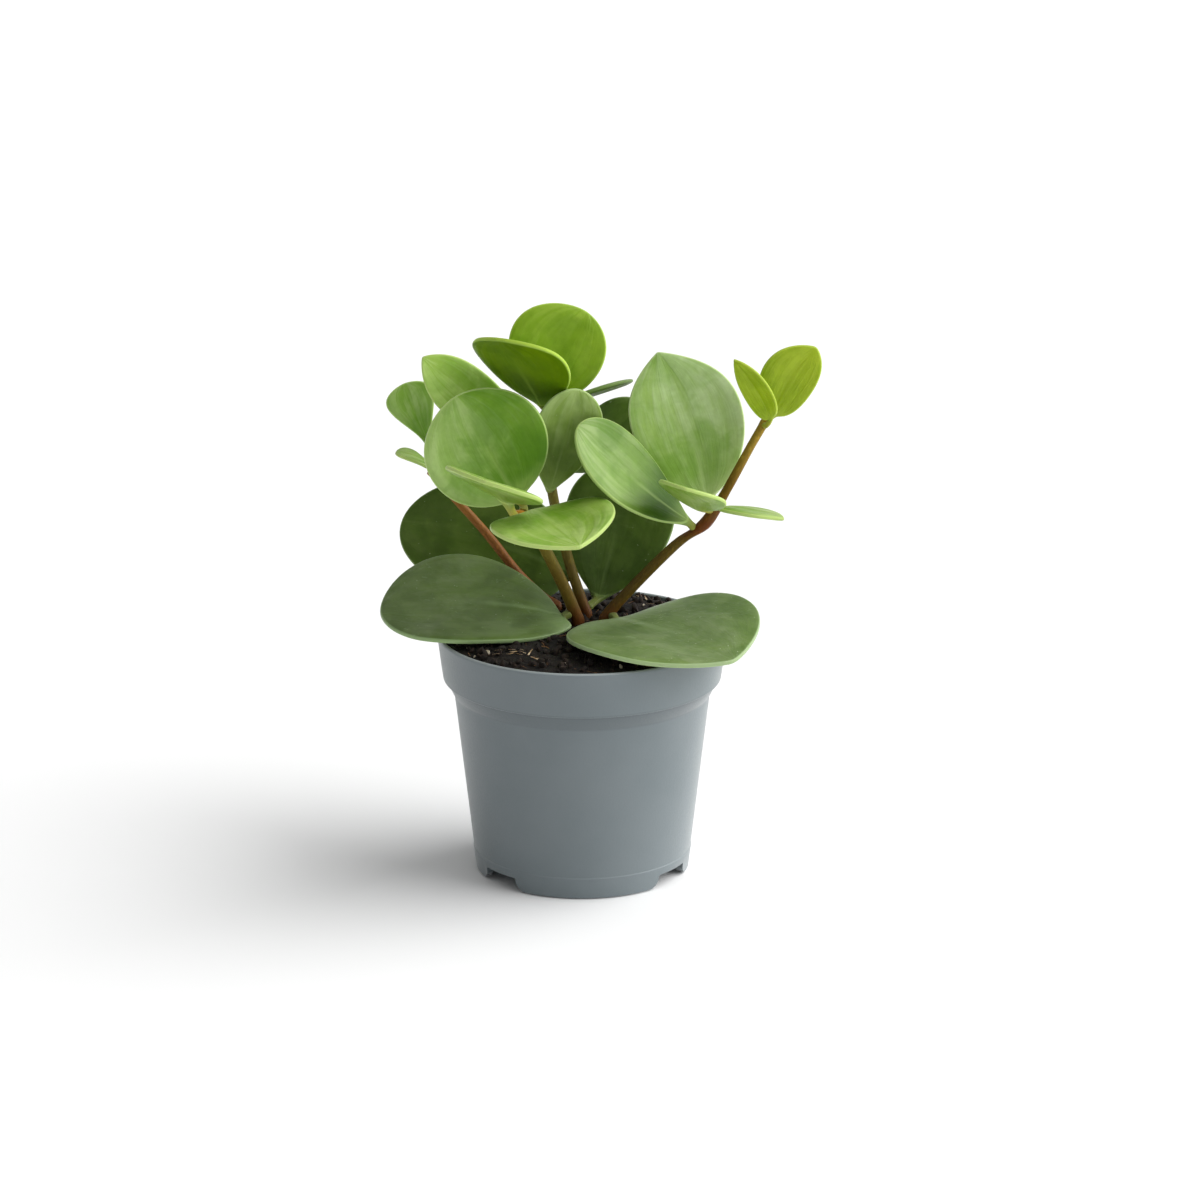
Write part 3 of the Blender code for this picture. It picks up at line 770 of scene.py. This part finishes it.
def make_bark_grain():
    """Pale and dark streaks that run up a stem, over the colour that is given."""
    group, nodes, given = start_group(
        "bark grain", {"Bark": "Color"},
        {"Color": "Color", "Roughness": "Float", "Height": "Float"},
    )
    streaks = nodes.noise(nodes.stretch(nodes.place(), (1.0, 1.0, 0.35)), 1500.0, 4.0, 0.6)
    colour = nodes.lighten(given["Bark"], nodes.spread(streaks, 0.52, 0.74, 1.0, 1.5))
    nodes.fill(nodes.add("NodeGroupOutput"), {
        "Color": nodes.mix(nodes.spread(streaks, 0.24, 0.42, 0.5, 0), colour, BARK_CRACK),
        "Roughness": nodes.spread(streaks, 0.3, 0.7, 0.40, 0.55),
        "Height": streaks,
    })
    return group


def make_stem_material(name, bands, grain):
    """Bark whose colour changes with height, given as (height, colour) from below upwards."""
    material, nodes, shader = start_material(name)
    place = nodes.place()
    wander = nodes.times_plus(nodes.noise(place, 260.0, 2.0), 5 * MM, nodes.split(place)["Z"])
    colour = (*bands[0][1], 1)
    for (low, _), (high, above) in zip(bands, bands[1:]):
        climb = nodes.spread(wander, (low + 2.5) * MM, (high + 2.5) * MM)
        colour = nodes.mix(climb, colour, (*above, 1))
    look = nodes.fill(nodes.add("ShaderNodeGroup", node_tree=grain), {"Bark": colour})
    nodes.fill(shader, {
        "Base Color": look["Color"],
        "Roughness": look["Roughness"],
        "Normal": nodes.bump(look["Height"], 0.06 * MM),
        "Specular IOR Level": 0.16,
        "Subsurface Weight": 0.08,
        "Subsurface Scale": 1.0 * MM,
    })
    return material


# Pot

def wall_radius(z):
    """Outer radius of the pot at a height, without the roundings."""
    if z <= NECK:
        return FOOT_RADIUS + (NECK_RADIUS - FOOT_RADIUS) * z / NECK
    if z <= BAND_BOTTOM:
        share = (z - NECK) / (BAND_BOTTOM - NECK)
        return NECK_RADIUS + (BAND_BOTTOM_RADIUS - NECK_RADIUS) * share
    share = (z - BAND_BOTTOM) / (POT_HEIGHT - BAND_BOTTOM)
    return BAND_BOTTOM_RADIUS + (LIP_RADIUS - BAND_BOTTOM_RADIUS) * share


def arc(centre_r, centre_z, radius, start, end, steps):
    """Points (r, z) of an arc between two angles in degrees."""
    points = []
    for step in range(steps + 1):
        angle = math.radians(start + (end - start) * step / steps)
        points.append((centre_r + radius * math.cos(angle), centre_z + radius * math.sin(angle)))
    return points


def near(r, z, *offsets):
    """Points (r, z) at small offsets from a corner of the section."""
    return [(r + outwards, z + up) for outwards, up in offsets]


def pot_profile():
    """(r, z) from the floor's underside round the foot, up the outside and down the inside."""
    floor_top = FLOOR_UNDERSIDE + FLOOR_THICKNESS
    foot = [
        (wall_radius(FLOOR_UNDERSIDE) - FOOT_WALL, FLOOR_UNDERSIDE),
        *near(FOOT_RADIUS - FOOT_WALL, 0.0, (0.0, 0.25), (0.25, 0.0)),
        *near(FOOT_RADIUS, 0.0, (-0.45, 0.0), (-0.22, 0.08), (LEDGE_REACH, 0.30)),
    ]
    ledge = [
        (wall_radius(LEDGE - 0.1) + LEDGE_REACH, LEDGE - 0.15),
        (wall_radius(LEDGE) + LEDGE_REACH * 0.85, LEDGE - 0.05),
        (wall_radius(LEDGE) + LEDGE_REACH * 0.15, LEDGE + 0.08),
        (wall_radius(LEDGE + 0.3), LEDGE + 0.2),
    ]
    wall = [(wall_radius(z), z) for z in (12.0, 20.0, 28.0, 34.0)]
    # The crease of the neck, then the band's rounded lower edge
    neck = near(NECK_RADIUS, NECK, (-0.06, -0.7), (-0.02, -0.25), (0.18, 0.15), (0.52, 0.62))
    under = near(
        BAND_BOTTOM_RADIUS, BAND_BOTTOM, (-0.95, -0.75), (-0.72, -0.30), (-0.66, -0.02)
    )
    band = arc(BAND_BOTTOM_RADIUS - BAND_ROUND, BAND_BOTTOM + 0.34, BAND_ROUND, -84, 2, 6)
    upper = [(wall_radius(z), z) for z in (43.5, 47.0, POT_HEIGHT - 0.9)]
    lip = arc(LIP_RADIUS - WALL / 2, POT_HEIGHT - WALL / 2, WALL / 2, 0, 180, 8)
    inner = [
        (wall_radius(BAND_BOTTOM) - WALL, BAND_BOTTOM + 0.3),
        (wall_radius(NECK) - WALL, NECK + 0.3),
        *near(wall_radius(floor_top) - WALL, floor_top, (0.0, 1.2), (-0.4, 0.4), (-1.2, 0.0)),
    ]
    return foot + ledge + wall + neck + under + band + upper + lip + inner


def notch_cutter(place, turn):
    """A block with rounded upper corners, flared below so that the feet end in round corners."""
    upper = NOTCH_HEIGHT - NOTCH_FLARE[0][1]
    cutter = add_primitive(
        bpy.ops.mesh.primitive_cube_add, "notch", size=1.0,
        location=place + Vector((0, 0, NOTCH_FLARE[0][1] + upper / 2)) * MM,
        scale=(NOTCH_CUT_DEPTH * MM, NOTCH_WIDTH * MM, upper * MM),
    )
    start_editing(cutter, "FACE")
    pick(cutter, "faces", lambda face: face.normal.z < -0.9)
    for (wide, z), (next_wide, next_z) in zip(NOTCH_FLARE, NOTCH_FLARE[1:]):
        factor = (NOTCH_WIDTH + 2 * next_wide) / (NOTCH_WIDTH + 2 * wide)
        extrude((0, 0, (next_z - z) * MM), (1, factor, 1), place)
    stop_editing()
    modify(
        cutter, "corners", "BEVEL", width=NOTCH_CORNER * MM, segments=4, limit_method="ANGLE",
        angle_limit=math.radians(75),
    )
    for vertex in cutter.data.vertices:
        vertex.co = place + Matrix.Rotation(turn, 3, "Z") @ (vertex.co - place)
    return cutter


def make_pot(material):
    """A circle taken round the whole section by extruding and widening it, then cut."""
    profile = pot_profile()
    first_r, first_z = profile[0]
    pot = add_primitive(
        bpy.ops.mesh.primitive_circle_add, "pot_moulded", vertices=POT_SIDES,
        radius=first_r * MM, fill_type="NGON", location=at(0, 0, first_z),
    )
    start_editing(pot)
    for (r, z), (next_r, next_z) in zip(profile, profile[1:]):
        extrude((0, 0, (next_z - z) * MM), (next_r / r, next_r / r, 1), at(0, 0, next_z))
    bpy.ops.mesh.select_all(action="SELECT")
    bpy.ops.mesh.remove_doubles(threshold=0.01 * MM)
    turn_faces_outwards()
    stop_editing()

    cutters = []
    for degrees in NOTCH_CENTRES:
        turn = math.radians(degrees) + FRONT_FOOT_TURN - math.pi / 2
        cutters.append(notch_cutter(on_circle(FOOT_RADIUS, turn, 0), turn))
    for number in range(DRAIN_HOLES):
        turn = 2 * math.pi * number / DRAIN_HOLES - math.pi / 2
        cutters.append(add_primitive(
            bpy.ops.mesh.primitive_cylinder_add, "drain_hole", vertices=32,
            radius=DRAIN_HOLE_RADIUS * MM, depth=4 * FLOOR_THICKNESS * MM,
            location=on_circle(DRAIN_CIRCLE_RADIUS, turn, FLOOR_UNDERSIDE + FLOOR_THICKNESS / 2),
        ))
    cutter = join(cutters, "foot_cutter")
    modify(
        pot, "notches and drain holes", "BOOLEAN", operation="DIFFERENCE", solver="EXACT",
        object=cutter,
    )
    bpy.data.objects.remove(cutter)
    modify(
        pot, "moulded edges", "BEVEL", width=MOULD_ROUND * MM, segments=2, limit_method="ANGLE",
        angle_limit=math.radians(50),
    )
    smooth(pot, 32)
    pot.data.materials.append(material)
    return pot


# Stems

def smooth_between(before, start, end, after, share):
    """A Catmull-Rom curve's value between start and end."""
    return (
        start * 2
        + (end - before) * share
        + (before * 2 - start * 5 + end * 4 - after) * share**2
        + (start * 3 - before - end * 3 + after) * share**3
    ) * 0.5


def stem_line(stem):
    """(point, radius) along the middle of a stem, from its root's end upwards."""
    x, y = stem.root
    line = [
        (at(x, y, ROOT_BOTTOM), stem.radii[0] * MM),
        (at(x, y, UPRIGHT_TO), stem.radii[0] * MM),
    ]
    knots = [line[-1][0]] + [at(*point) for point in stem.points]
    radii = [radius * MM for radius in stem.radii]
    before_first = knots[0] - Vector((0, 0, 6 * MM))
    after_last = knots[-1] * 2 - knots[-2]
    padded = [before_first] + knots + [after_last]
    for piece in range(len(knots) - 1):
        for step in range(1, STEM_SAMPLES + 1):
            share = step / STEM_SAMPLES
            point = smooth_between(*padded[piece : piece + 4], share)
            radius = radii[piece] + (radii[piece + 1] - radii[piece]) * share
            line.append((point, radius))
    return line


def nearest_on(line, target):
    """(point, radius, direction) on a stem's middle line that lies nearest to the target."""
    best = None
    for (start, start_radius), (end, end_radius) in zip(line, line[1:]):
        along = end - start
        share = max(0.0, min(1.0, (target - start).dot(along) / along.length_squared))
        point = start + along * share
        distance = (target - point).length
        if best is None or distance < best[0]:
            radius = start_radius + (end_radius - start_radius) * share
            best = (distance, point, radius, along.normalized())
    return best[1:]


def turn_selected(before, after, centre):
    """Turns what is selected so that it faces along a new direction."""
    axis = before.cross(after)
    if axis.length < 1e-6:
        return
    angle = before.angle(after)
    across = axis.normalized()
    other = before.normalized()
    third = across.cross(other)
    # The third row of the matrix is the axis that the turn goes round
    matrix = Matrix((other, third, across)).to_3x3()
    bpy.ops.transform.rotate(
        value=-angle, orient_axis="Z", orient_type="GLOBAL", orient_matrix=matrix,
        orient_matrix_type="GLOBAL", center_override=centre,
    )

def make_stem(name, stem, material):
    """A ring extruded along the stem's line, turned and narrowed at each step."""
    line = stem_line(stem)
    last_point, last_radius = line[-1]
    ahead = (last_point - line[-2][0]).normalized()
    for reach, swell in BUD_RINGS:
        line.append((last_point + ahead * reach * stem.bud * last_radius, last_radius * swell))
    first_point, first_radius = line[0]
    obj = add_primitive(
        bpy.ops.mesh.primitive_circle_add, name + "_grown", vertices=STEM_SIDES,
        radius=first_radius, fill_type="NGON", location=first_point,
    )
    start_editing(obj, "FACE")
    direction = Vector((0, 0, 1))
    for index in range(1, len(line)):
        point, radius = line[index]
        before, radius_before = line[index - 1]
        bpy.ops.mesh.extrude_region_move(TRANSFORM_OT_translate={"value": point - before})
        following = line[min(index + 1, len(line) - 1)][0]
        tangent = (following - before).normalized()
        turn_selected(direction, tangent, point)
        direction = tangent
        factor = radius / radius_before
        bpy.ops.transform.resize(value=(factor, factor, factor), center_override=point)
    turn_faces_outwards()
    stop_editing()
    modify(obj, "rounding", "SUBSURF", levels=1, render_levels=1)
    smooth(obj)
    obj.data.materials.append(material)
    return obj


# Leaves

def slimness(leaf):
    """How thick a leaf's blade and stalk are beside those of the biggest leaves."""
    return min(1.0, 0.6 + leaf.width / 60)


def blade_sheet(name, leaf):
    """A round sheet of quads, with rings round its rim where the margin will be."""
    half = leaf.width / 2
    rims = [1 - inset * min(1.0, 9.0 / half) / half for inset in MARGIN_RINGS]
    sheet = round_sheet(name + "_grown", OUTLINE_POINTS, rims[0])
    for inner, outer in zip(rims, rims[1:]):
        pick(sheet, "verts", lambda vertex: vertex.co.length > inner - 0.002)
        extrude((0, 0, 0), (outer / inner, outer / inner, 1), (0, 0, 0))
    finish_sheet(sheet)
    return sheet


def distance_to_outline(point, outline):
    best = 1.0
    for index in range(len(outline)):
        start, end = outline[index - 1], outline[index]
        edge = end - start
        share = max(0.0, min(1.0, (point - start).dot(edge) / max(edge.length_squared, 1e-12)))
        best = min(best, (point - (start + edge * share)).length)
    return best


def shape_blade(sheet, leaf, seed):
    """Draws the round sheet out to the leaf's outline and curls it, in the leaf's own axes."""
    half_width = leaf.width * MM / 2
    stalk_radius = STALK_RADIUS * slimness(leaf) * MM
    length = (at(*leaf.tip) - at(*leaf.base)).length
    lobe_side = math.copysign(1.0, leaf.lobe)
    lobe_reach = abs(leaf.lobe) * MM
    flat = []
    for vertex in sheet.data.vertices:
        x, y = vertex.co.x, max(-1.0, min(1.0, vertex.co.y))
        chord = math.sqrt(max(0.0, 1 - y * y))
        share = ((1 + y) / 2) ** (1 / leaf.widest)
        sharpen = 1 + leaf.point * max(0.0, (share - 0.6) / 0.4)
        half = max(half_width * chord**sharpen, stalk_radius * (1 - share))
        across = 0.0 if chord < 1e-5 else max(-1.0, min(1.0, x / chord))
        back = lobe_reach * (1 - share) ** 4 * max(0.0, across * lobe_side) ** 1.5
        flat.append((across, share, Vector((across * half, share * length - back))))
    # The outermost ring in its order round the sheet is the leaf's outline
    rim = sorted(
        (math.atan2(vertex.co.x, -vertex.co.y), vertex.index)
        for vertex in sheet.data.vertices
        if vertex.co.xy.length > 0.9995
    )
    outline = [flat[index][2] for _, index in rim]

    marks = {
        "across": [across for across, _, _ in flat],
        "along": [share for _, share, _ in flat],
        "from_edge": [distance_to_outline(spot, outline) for _, _, spot in flat],
    }
    for name, value in (
        ("seed", seed), ("tone", leaf.tone), ("painted_lean", leaf.painted_lean), ("painted_foot_shade", leaf.painted_foot_shade)
    ):
        marks[name] = [value] * len(flat)
    for name, values in marks.items():
        mark = sheet.data.attributes.new(name, "FLOAT", "POINT")
        mark.data.foreach_set("value", values)

    for vertex, (across, share, (x, y)) in zip(sheet.data.vertices, flat):
        bow = 1 - (2 * share - 1) ** 2
        lift = leaf.cup * MM * (x / half_width) ** 2
        groove = math.exp(-((across / 0.16) ** 2)) * bow**0.5
        lift -= MIDRIB_DEPTH * MM * slimness(leaf) * groove
        ripple = math.cos(7.5 * across + seed) * bow * min(1.0, leaf.width / 20)
        lift += RIPPLE_HEIGHT * MM * ripple
        wave = noise.noise(Vector((x / (7 * MM), y / (9 * MM), seed * 7.3)))
        lift += WAVE_HEIGHT * MM * wave * bow * min(1.0, leaf.width / 24)
        vertex.co = (x + leaf.sweep * MM * bow, y, leaf.arch * MM * bow + lift)


def place_blade(sheet, leaf):
    """Turns the blade from its own axes into its place on the plant."""
    base = at(*leaf.base)
    along = (at(*leaf.tip) - base).normalized()
    face = Vector(leaf.face)
    normal = (face - along * face.dot(along)).normalized()
    side = along.cross(normal)
    turn = Matrix((side, along, normal)).transposed().to_4x4()
    sheet.matrix_world = Matrix.Translation(base) @ turn
    settle(sheet)
    return base, along, side


def draw_stalk(sheet, leaf, base, along, side):
    """Extrudes the blade's foot row by row along a curve that ends just inside the stem."""
    radius = STALK_RADIUS * slimness(leaf) * MM
    on_stem, stem_radius, stem_direction = nearest_on(stem_line(STEMS[leaf.stem]), base)
    outwards = base - on_stem
    outwards -= stem_direction * outwards.dot(stem_direction)
    outwards = outwards.normalized()
    seat = on_stem + outwards * (stem_radius - STALK_SINK * MM)
    reach = stem_radius + STALK_STRAIGHT * MM + (base - seat).length * 0.4
    bend = on_stem + outwards * reach
    start_editing(sheet)
    bm = bmesh.from_edit_mesh(sheet.data)
    border = [vertex for vertex in bm.verts if vertex.is_boundary]
    border.sort(key=lambda vertex: (vertex.co - base).length)
    foot = set(border[:3])
    pick(sheet, "verts", lambda vertex: vertex in foot)
    heading, across = along, side
    for row in range(1, STALK_ROWS + 1):
        share = 1 - row / STALK_ROWS
        first = seat.lerp(bend, share)
        second = bend.lerp(base, share)
        centre = first.lerp(second, share)
        tangent = (second - first).normalized()
        across = heading.rotation_difference(tangent) @ across
        heading = tangent
        bpy.ops.mesh.extrude_region_move()
        bm = bmesh.from_edit_mesh(sheet.data)
        new_row = [vertex for vertex in bm.verts if vertex.select]
        new_row.sort(key=lambda vertex: (vertex.co - base).dot(side))
        along_layer = bm.verts.layers.float["along"]
        edge_layer = bm.verts.layers.float["from_edge"]
        flare = radius * (1 + 0.3 * (1 - share) ** 3)
        for vertex, offset in zip(new_row, (-1, 0, 1)):
            vertex.co = centre + across * flare * offset
            vertex[along_layer] = -0.15 * row / STALK_ROWS
            vertex[edge_layer] = 1.0 * MM
        bmesh.update_edit_mesh(sheet.data)
        side = across
    stop_editing()


def thin_the_margin(sheet, base):
    """Weights that let the flesh thin out towards the margin, but not at the stalk."""
    along = [mark.value for mark in sheet.data.attributes["along"].data]
    from_edge = [mark.value for mark in sheet.data.attributes["from_edge"].data]
    flesh = sheet.vertex_groups.new(name="flesh")
    for vertex in sheet.data.vertices:
        inwards = min(1.0, from_edge[vertex.index] / (MARGIN_WIDTH * MM))
        weight = EDGE_SHARE + (1 - EDGE_SHARE) * inwards**0.7
        near_stalk = max(0.0, 1 - (vertex.co - base).length / (STALK_SHOULDER * MM))
        if along[vertex.index] < 0:
            near_stalk = 1.0
        flesh.add([vertex.index], weight + (1 - weight) * near_stalk, "REPLACE")


def make_leaf(name, leaf, materials, seed):
    sheet = blade_sheet(name, leaf)
    shape_blade(sheet, leaf, seed)
    base, along, side = place_blade(sheet, leaf)
    draw_stalk(sheet, leaf, base, along, side)
    for material in materials:
        sheet.data.materials.append(material)
    thin_the_margin(sheet, base)
    modify(
        sheet, "flesh", "SOLIDIFY", vertex_group="flesh", offset=0.0, use_quality_normals=True,
        thickness=2 * BLADE_HALF_THICKNESS * slimness(leaf) * MM, material_offset=1,
    )
    modify(sheet, "rounding", "SUBSURF", levels=2, render_levels=2)
    smooth(sheet)
    return sheet


# Soil

def soil_height(x, y):
    """Height of the soil's surface in millimetres: low at the wall, heaped behind the stems."""
    inner = wall_radius(SOIL_EDGE_HEIGHT) - WALL
    share = min(1.0, math.hypot(x, y) / inner)
    away = math.hypot(x - SOIL_HEAP_AT[0], y - SOIL_HEAP_AT[1])
    heap = SOIL_HEAP * math.exp(-((away / SOIL_HEAP_SPREAD) ** 2))
    return SOIL_EDGE_HEIGHT + (SOIL_CROWN + heap) * (1 - share**4)


def make_soil_top(material):
    """The rough top of the peat: a round sheet laid over the solid soil and roughened."""
    radius = wall_radius(SOIL_EDGE_HEIGHT) - WALL + 0.05
    top = round_sheet("soil_top", SOIL_SIDES, radius * MM)
    bpy.ops.mesh.subdivide(number_cuts=4)
    finish_sheet(top)
    for vertex in top.data.vertices:
        x, y = vertex.co.x / MM, vertex.co.y / MM
        at_wall = min(1.0, math.hypot(x, y) / radius)
        rough = noise.fractal(Vector((x / GRAIN_SIZE, y / GRAIN_SIZE, 2.0)), 1.0, 2.0, 4)
        lumps = noise.noise(Vector((x / LUMP_SIZE, y / LUMP_SIZE, 9.0)))
        rise = 0.25 + (0.55 * rough + 0.5 * lumps) * (1 - 0.75 * at_wall**6)
        vertex.co = at(x, y, soil_height(x, y) + rise)
    modify(top, "shell", "SOLIDIFY", thickness=SOIL_SHELL * MM, offset=-1)
    smooth(top)
    top.data.materials.append(material)
    return top


def crumb_model(number, roughness):
    """One crumb of peat: a ball of few faces, squashed and knocked out of round."""
    crumb = add_primitive(
        bpy.ops.mesh.primitive_ico_sphere_add, "crumb", subdivisions=1, radius=1.0
    )
    start_editing(crumb)
    bpy.ops.transform.resize(value=(1.0, 0.8, 0.62), center_override=(0, 0, 0))
    stop_editing()
    for vertex in crumb.data.vertices:
        push = noise.noise(vertex.co * 1.7 + Vector((number * 5.1, 0, 0)))
        vertex.co *= 1 + roughness * push
    return crumb


def fibre_model(rng, width=0.09):
    """One fibre of coir or bit of straw: a flat strip drawn out and bent a little."""
    fibre = add_primitive(bpy.ops.mesh.primitive_cube_add, "fibre", size=1.0)
    start_editing(fibre, "FACE")
    bpy.ops.transform.resize(value=(0.22, width, 0.05), center_override=(0, 0, 0))
    pick(fibre, "faces", lambda face: face.normal.x > 0.9)
    for _ in range(4):
        value = (0.45, rng.uniform(-0.18, 0.18), rng.uniform(-0.04, 0.12))
        bpy.ops.mesh.extrude_region_move(TRANSFORM_OT_translate={"value": value})
        bm = bmesh.from_edit_mesh(fibre.data)
        chosen = [vertex.co.copy() for vertex in bm.verts if vertex.select]
        centre = sum(chosen, Vector()) / len(chosen)
        bpy.ops.transform.resize(value=(0.8, 0.8, 0.8), center_override=centre)
    stop_editing()
    return fibre


def scatter(models, count, sizes, rng, name, material, spots=(), sink=0.25, tilt=math.pi):
    """Copies of the models laid over the soil, each with its own mesh, joined into a piece."""
    copies = []
    for number in range(count):
        model = models[number % len(models)]
        copy = model.copy()
        copy.data = model.data.copy()
        bpy.context.scene.collection.objects.link(copy)
        if number < len(spots):
            x, y = spots[number]
        else:
            away = (wall_radius(SOIL_EDGE_HEIGHT) - WALL - 1.0) * math.sqrt(rng.random())
            turn = rng.uniform(0, 2 * math.pi)
            x, y = away * math.cos(turn), away * math.sin(turn)
        size = rng.uniform(*sizes)
        height = soil_height(x, y) + LYING_HEIGHT + size * (0.5 - sink)
        copy.location = at(x, y, height)
        turn = rng.uniform(0, 2 * math.pi)
        copy.rotation_euler = (rng.uniform(-tilt, tilt), rng.uniform(-tilt, tilt), turn)
        copy.scale = (size * MM, size * MM, size * MM)
        copies.append(copy)
    for model in models:
        bpy.data.objects.remove(model)
    piece = join(copies, name)
    settle(piece)
    smooth(piece, 50)
    piece.data.materials.append(material)
    return piece


def make_litter():
    """Crumbs of peat, bits of perlite, fibres of coir and splinters of straw."""
    grain = make_crumb_grain()
    rng = random.Random(11)
    crumbs = scatter(
        [crumb_model(number, 0.5) for number in range(4)], CRUMB_COUNT, (0.35, 1.15), rng,
        "soil_crumbs",
        make_crumb_material("peat crumbs", grain, (0.004, 0.002, 0.001), (0.022, 0.010, 0.004)),
    )
    perlite = scatter(
        [crumb_model(number + 9, 0.35) for number in range(3)], PERLITE_COUNT, (0.3, 0.75), rng,
        "soil_perlite",
        make_crumb_material("perlite", grain, (0.34, 0.28, 0.20), (0.66, 0.58, 0.46)),
    )
    fibres = scatter(
        [fibre_model(rng) for _ in range(5)], FIBRE_COUNT, (0.9, 1.8), rng, "soil_fibres",
        make_crumb_material("coir", grain, (0.07, 0.028, 0.010), (0.34, 0.17, 0.07)),
        sink=0.3, tilt=0.45,
    )
    splinters = scatter(
        [fibre_model(rng, 0.36) for _ in range(4)], len(SPLINTER_SPOTS), (0.5, 1.05), rng,
        "soil_splinters",
        make_crumb_material("straw splinters", grain, (0.42, 0.25, 0.12), (0.78, 0.60, 0.40)),
        spots=SPLINTER_SPOTS, sink=0.0, tilt=0.35,
    )
    return crumbs, perlite, fibres, splinters


# Floor, light and camera

def set_stage():
    floor = add_primitive(bpy.ops.mesh.primitive_plane_add, "studio_floor", size=12.0)
    material, nodes, shader = start_material("studio white")
    nodes.fill(shader, {
        "Base Color": (0.93, 0.93, 0.93, 1), "Roughness": 0.9, "Specular IOR Level": 0.1,
    })
    floor.data.materials.append(material)

    # A white room that is brightest on the right and darkest behind the camera
    world = bpy.data.worlds.new("studio")
    world.use_nodes = True
    nodes = Nodes(world.node_tree)
    background = world.node_tree.nodes["Background"]
    room = nodes.split(nodes.add("ShaderNodeTexCoord").outputs["Generated"])
    beside = nodes.times_plus(room["Y"], -0.4, nodes.times(room["X"], 0.9))
    right = nodes.spread(beside, 0.0, 1.0, 0.40, 1.00)
    behind = nodes.spread(room["Y"], -1.0, 1.0, -0.20, 0.16)
    nodes.fill(background, {
        "Color": (1.0, 1.0, 1.0, 1), "Strength": nodes.math("ADD", right, behind),
    })
    bpy.context.scene.world = world

    # One big soft light from the right, low enough for a long shadow
    key = bpy.data.lights.new("key", "SUN")
    key.energy = 3.4
    key.angle = math.radians(72)
    key_lamp = bpy.data.objects.new("key", key)
    bpy.context.scene.collection.objects.link(key_lamp)
    towards_light = Vector((1.0, 0.06, 0.80)).normalized()
    key_lamp.rotation_mode = "QUATERNION"
    key_lamp.rotation_quaternion = towards_light.to_track_quat("Z", "Y")

    bpy.context.scene.view_settings.view_transform = "Standard"


def set_camera():
    elevation = math.radians(17.0)
    target = at(3.7, 0.0, 57.5)
    distance = 1000.0 * MM
    view_width = 247.4 * MM
    data = bpy.data.cameras.new("camera")
    data.sensor_width = 36.0
    data.lens = data.sensor_width * distance / view_width
    data.clip_start = 0.01
    data.clip_end = 100.0
    camera = bpy.data.objects.new("camera", data)
    bpy.context.scene.collection.objects.link(camera)
    back = Vector((0, -math.cos(elevation), math.sin(elevation)))
    camera.location = target + back * distance
    camera.rotation_mode = "QUATERNION"
    camera.rotation_quaternion = back.to_track_quat("Z", "Y")
    bpy.context.scene.camera = camera


def main():
    set_camera()
    skin = make_leaf_skin()
    leaf_materials = {}
    for name, finish in FINISHES.items():
        above = FINISHES[SUNNY_SIDE.get(name, name)]
        leaf_materials[name] = (
            make_leaf_material(f"{name} leaf", above, finish, skin),
            make_leaf_material(f"{name} leaf underside", finish, finish, skin, UNDERSIDE_LIFT),
        )

    pot = make_pot(make_plastic())
    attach(pot, "root")
    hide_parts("pot")

    peat = make_peat()
    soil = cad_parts["soil"]
    soil.data.materials.clear()
    soil.data.materials.append(peat)
    for piece in (make_soil_top(peat), *make_litter()):
        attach(piece, "root")

    bark = make_bark_grain()
    for name, stem in STEMS.items():
        obj = make_stem(name, stem, make_stem_material(f"{name} bark", stem.bark, bark))
        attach(obj, "root")
        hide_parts(name)

    for number, (name, leaf) in enumerate(LEAVES.items()):
        obj = make_leaf(name, leaf, leaf_materials[leaf.finish], number * 1.37 + 0.5)
        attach(obj, "root")
        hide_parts(name)

    set_stage()


main()
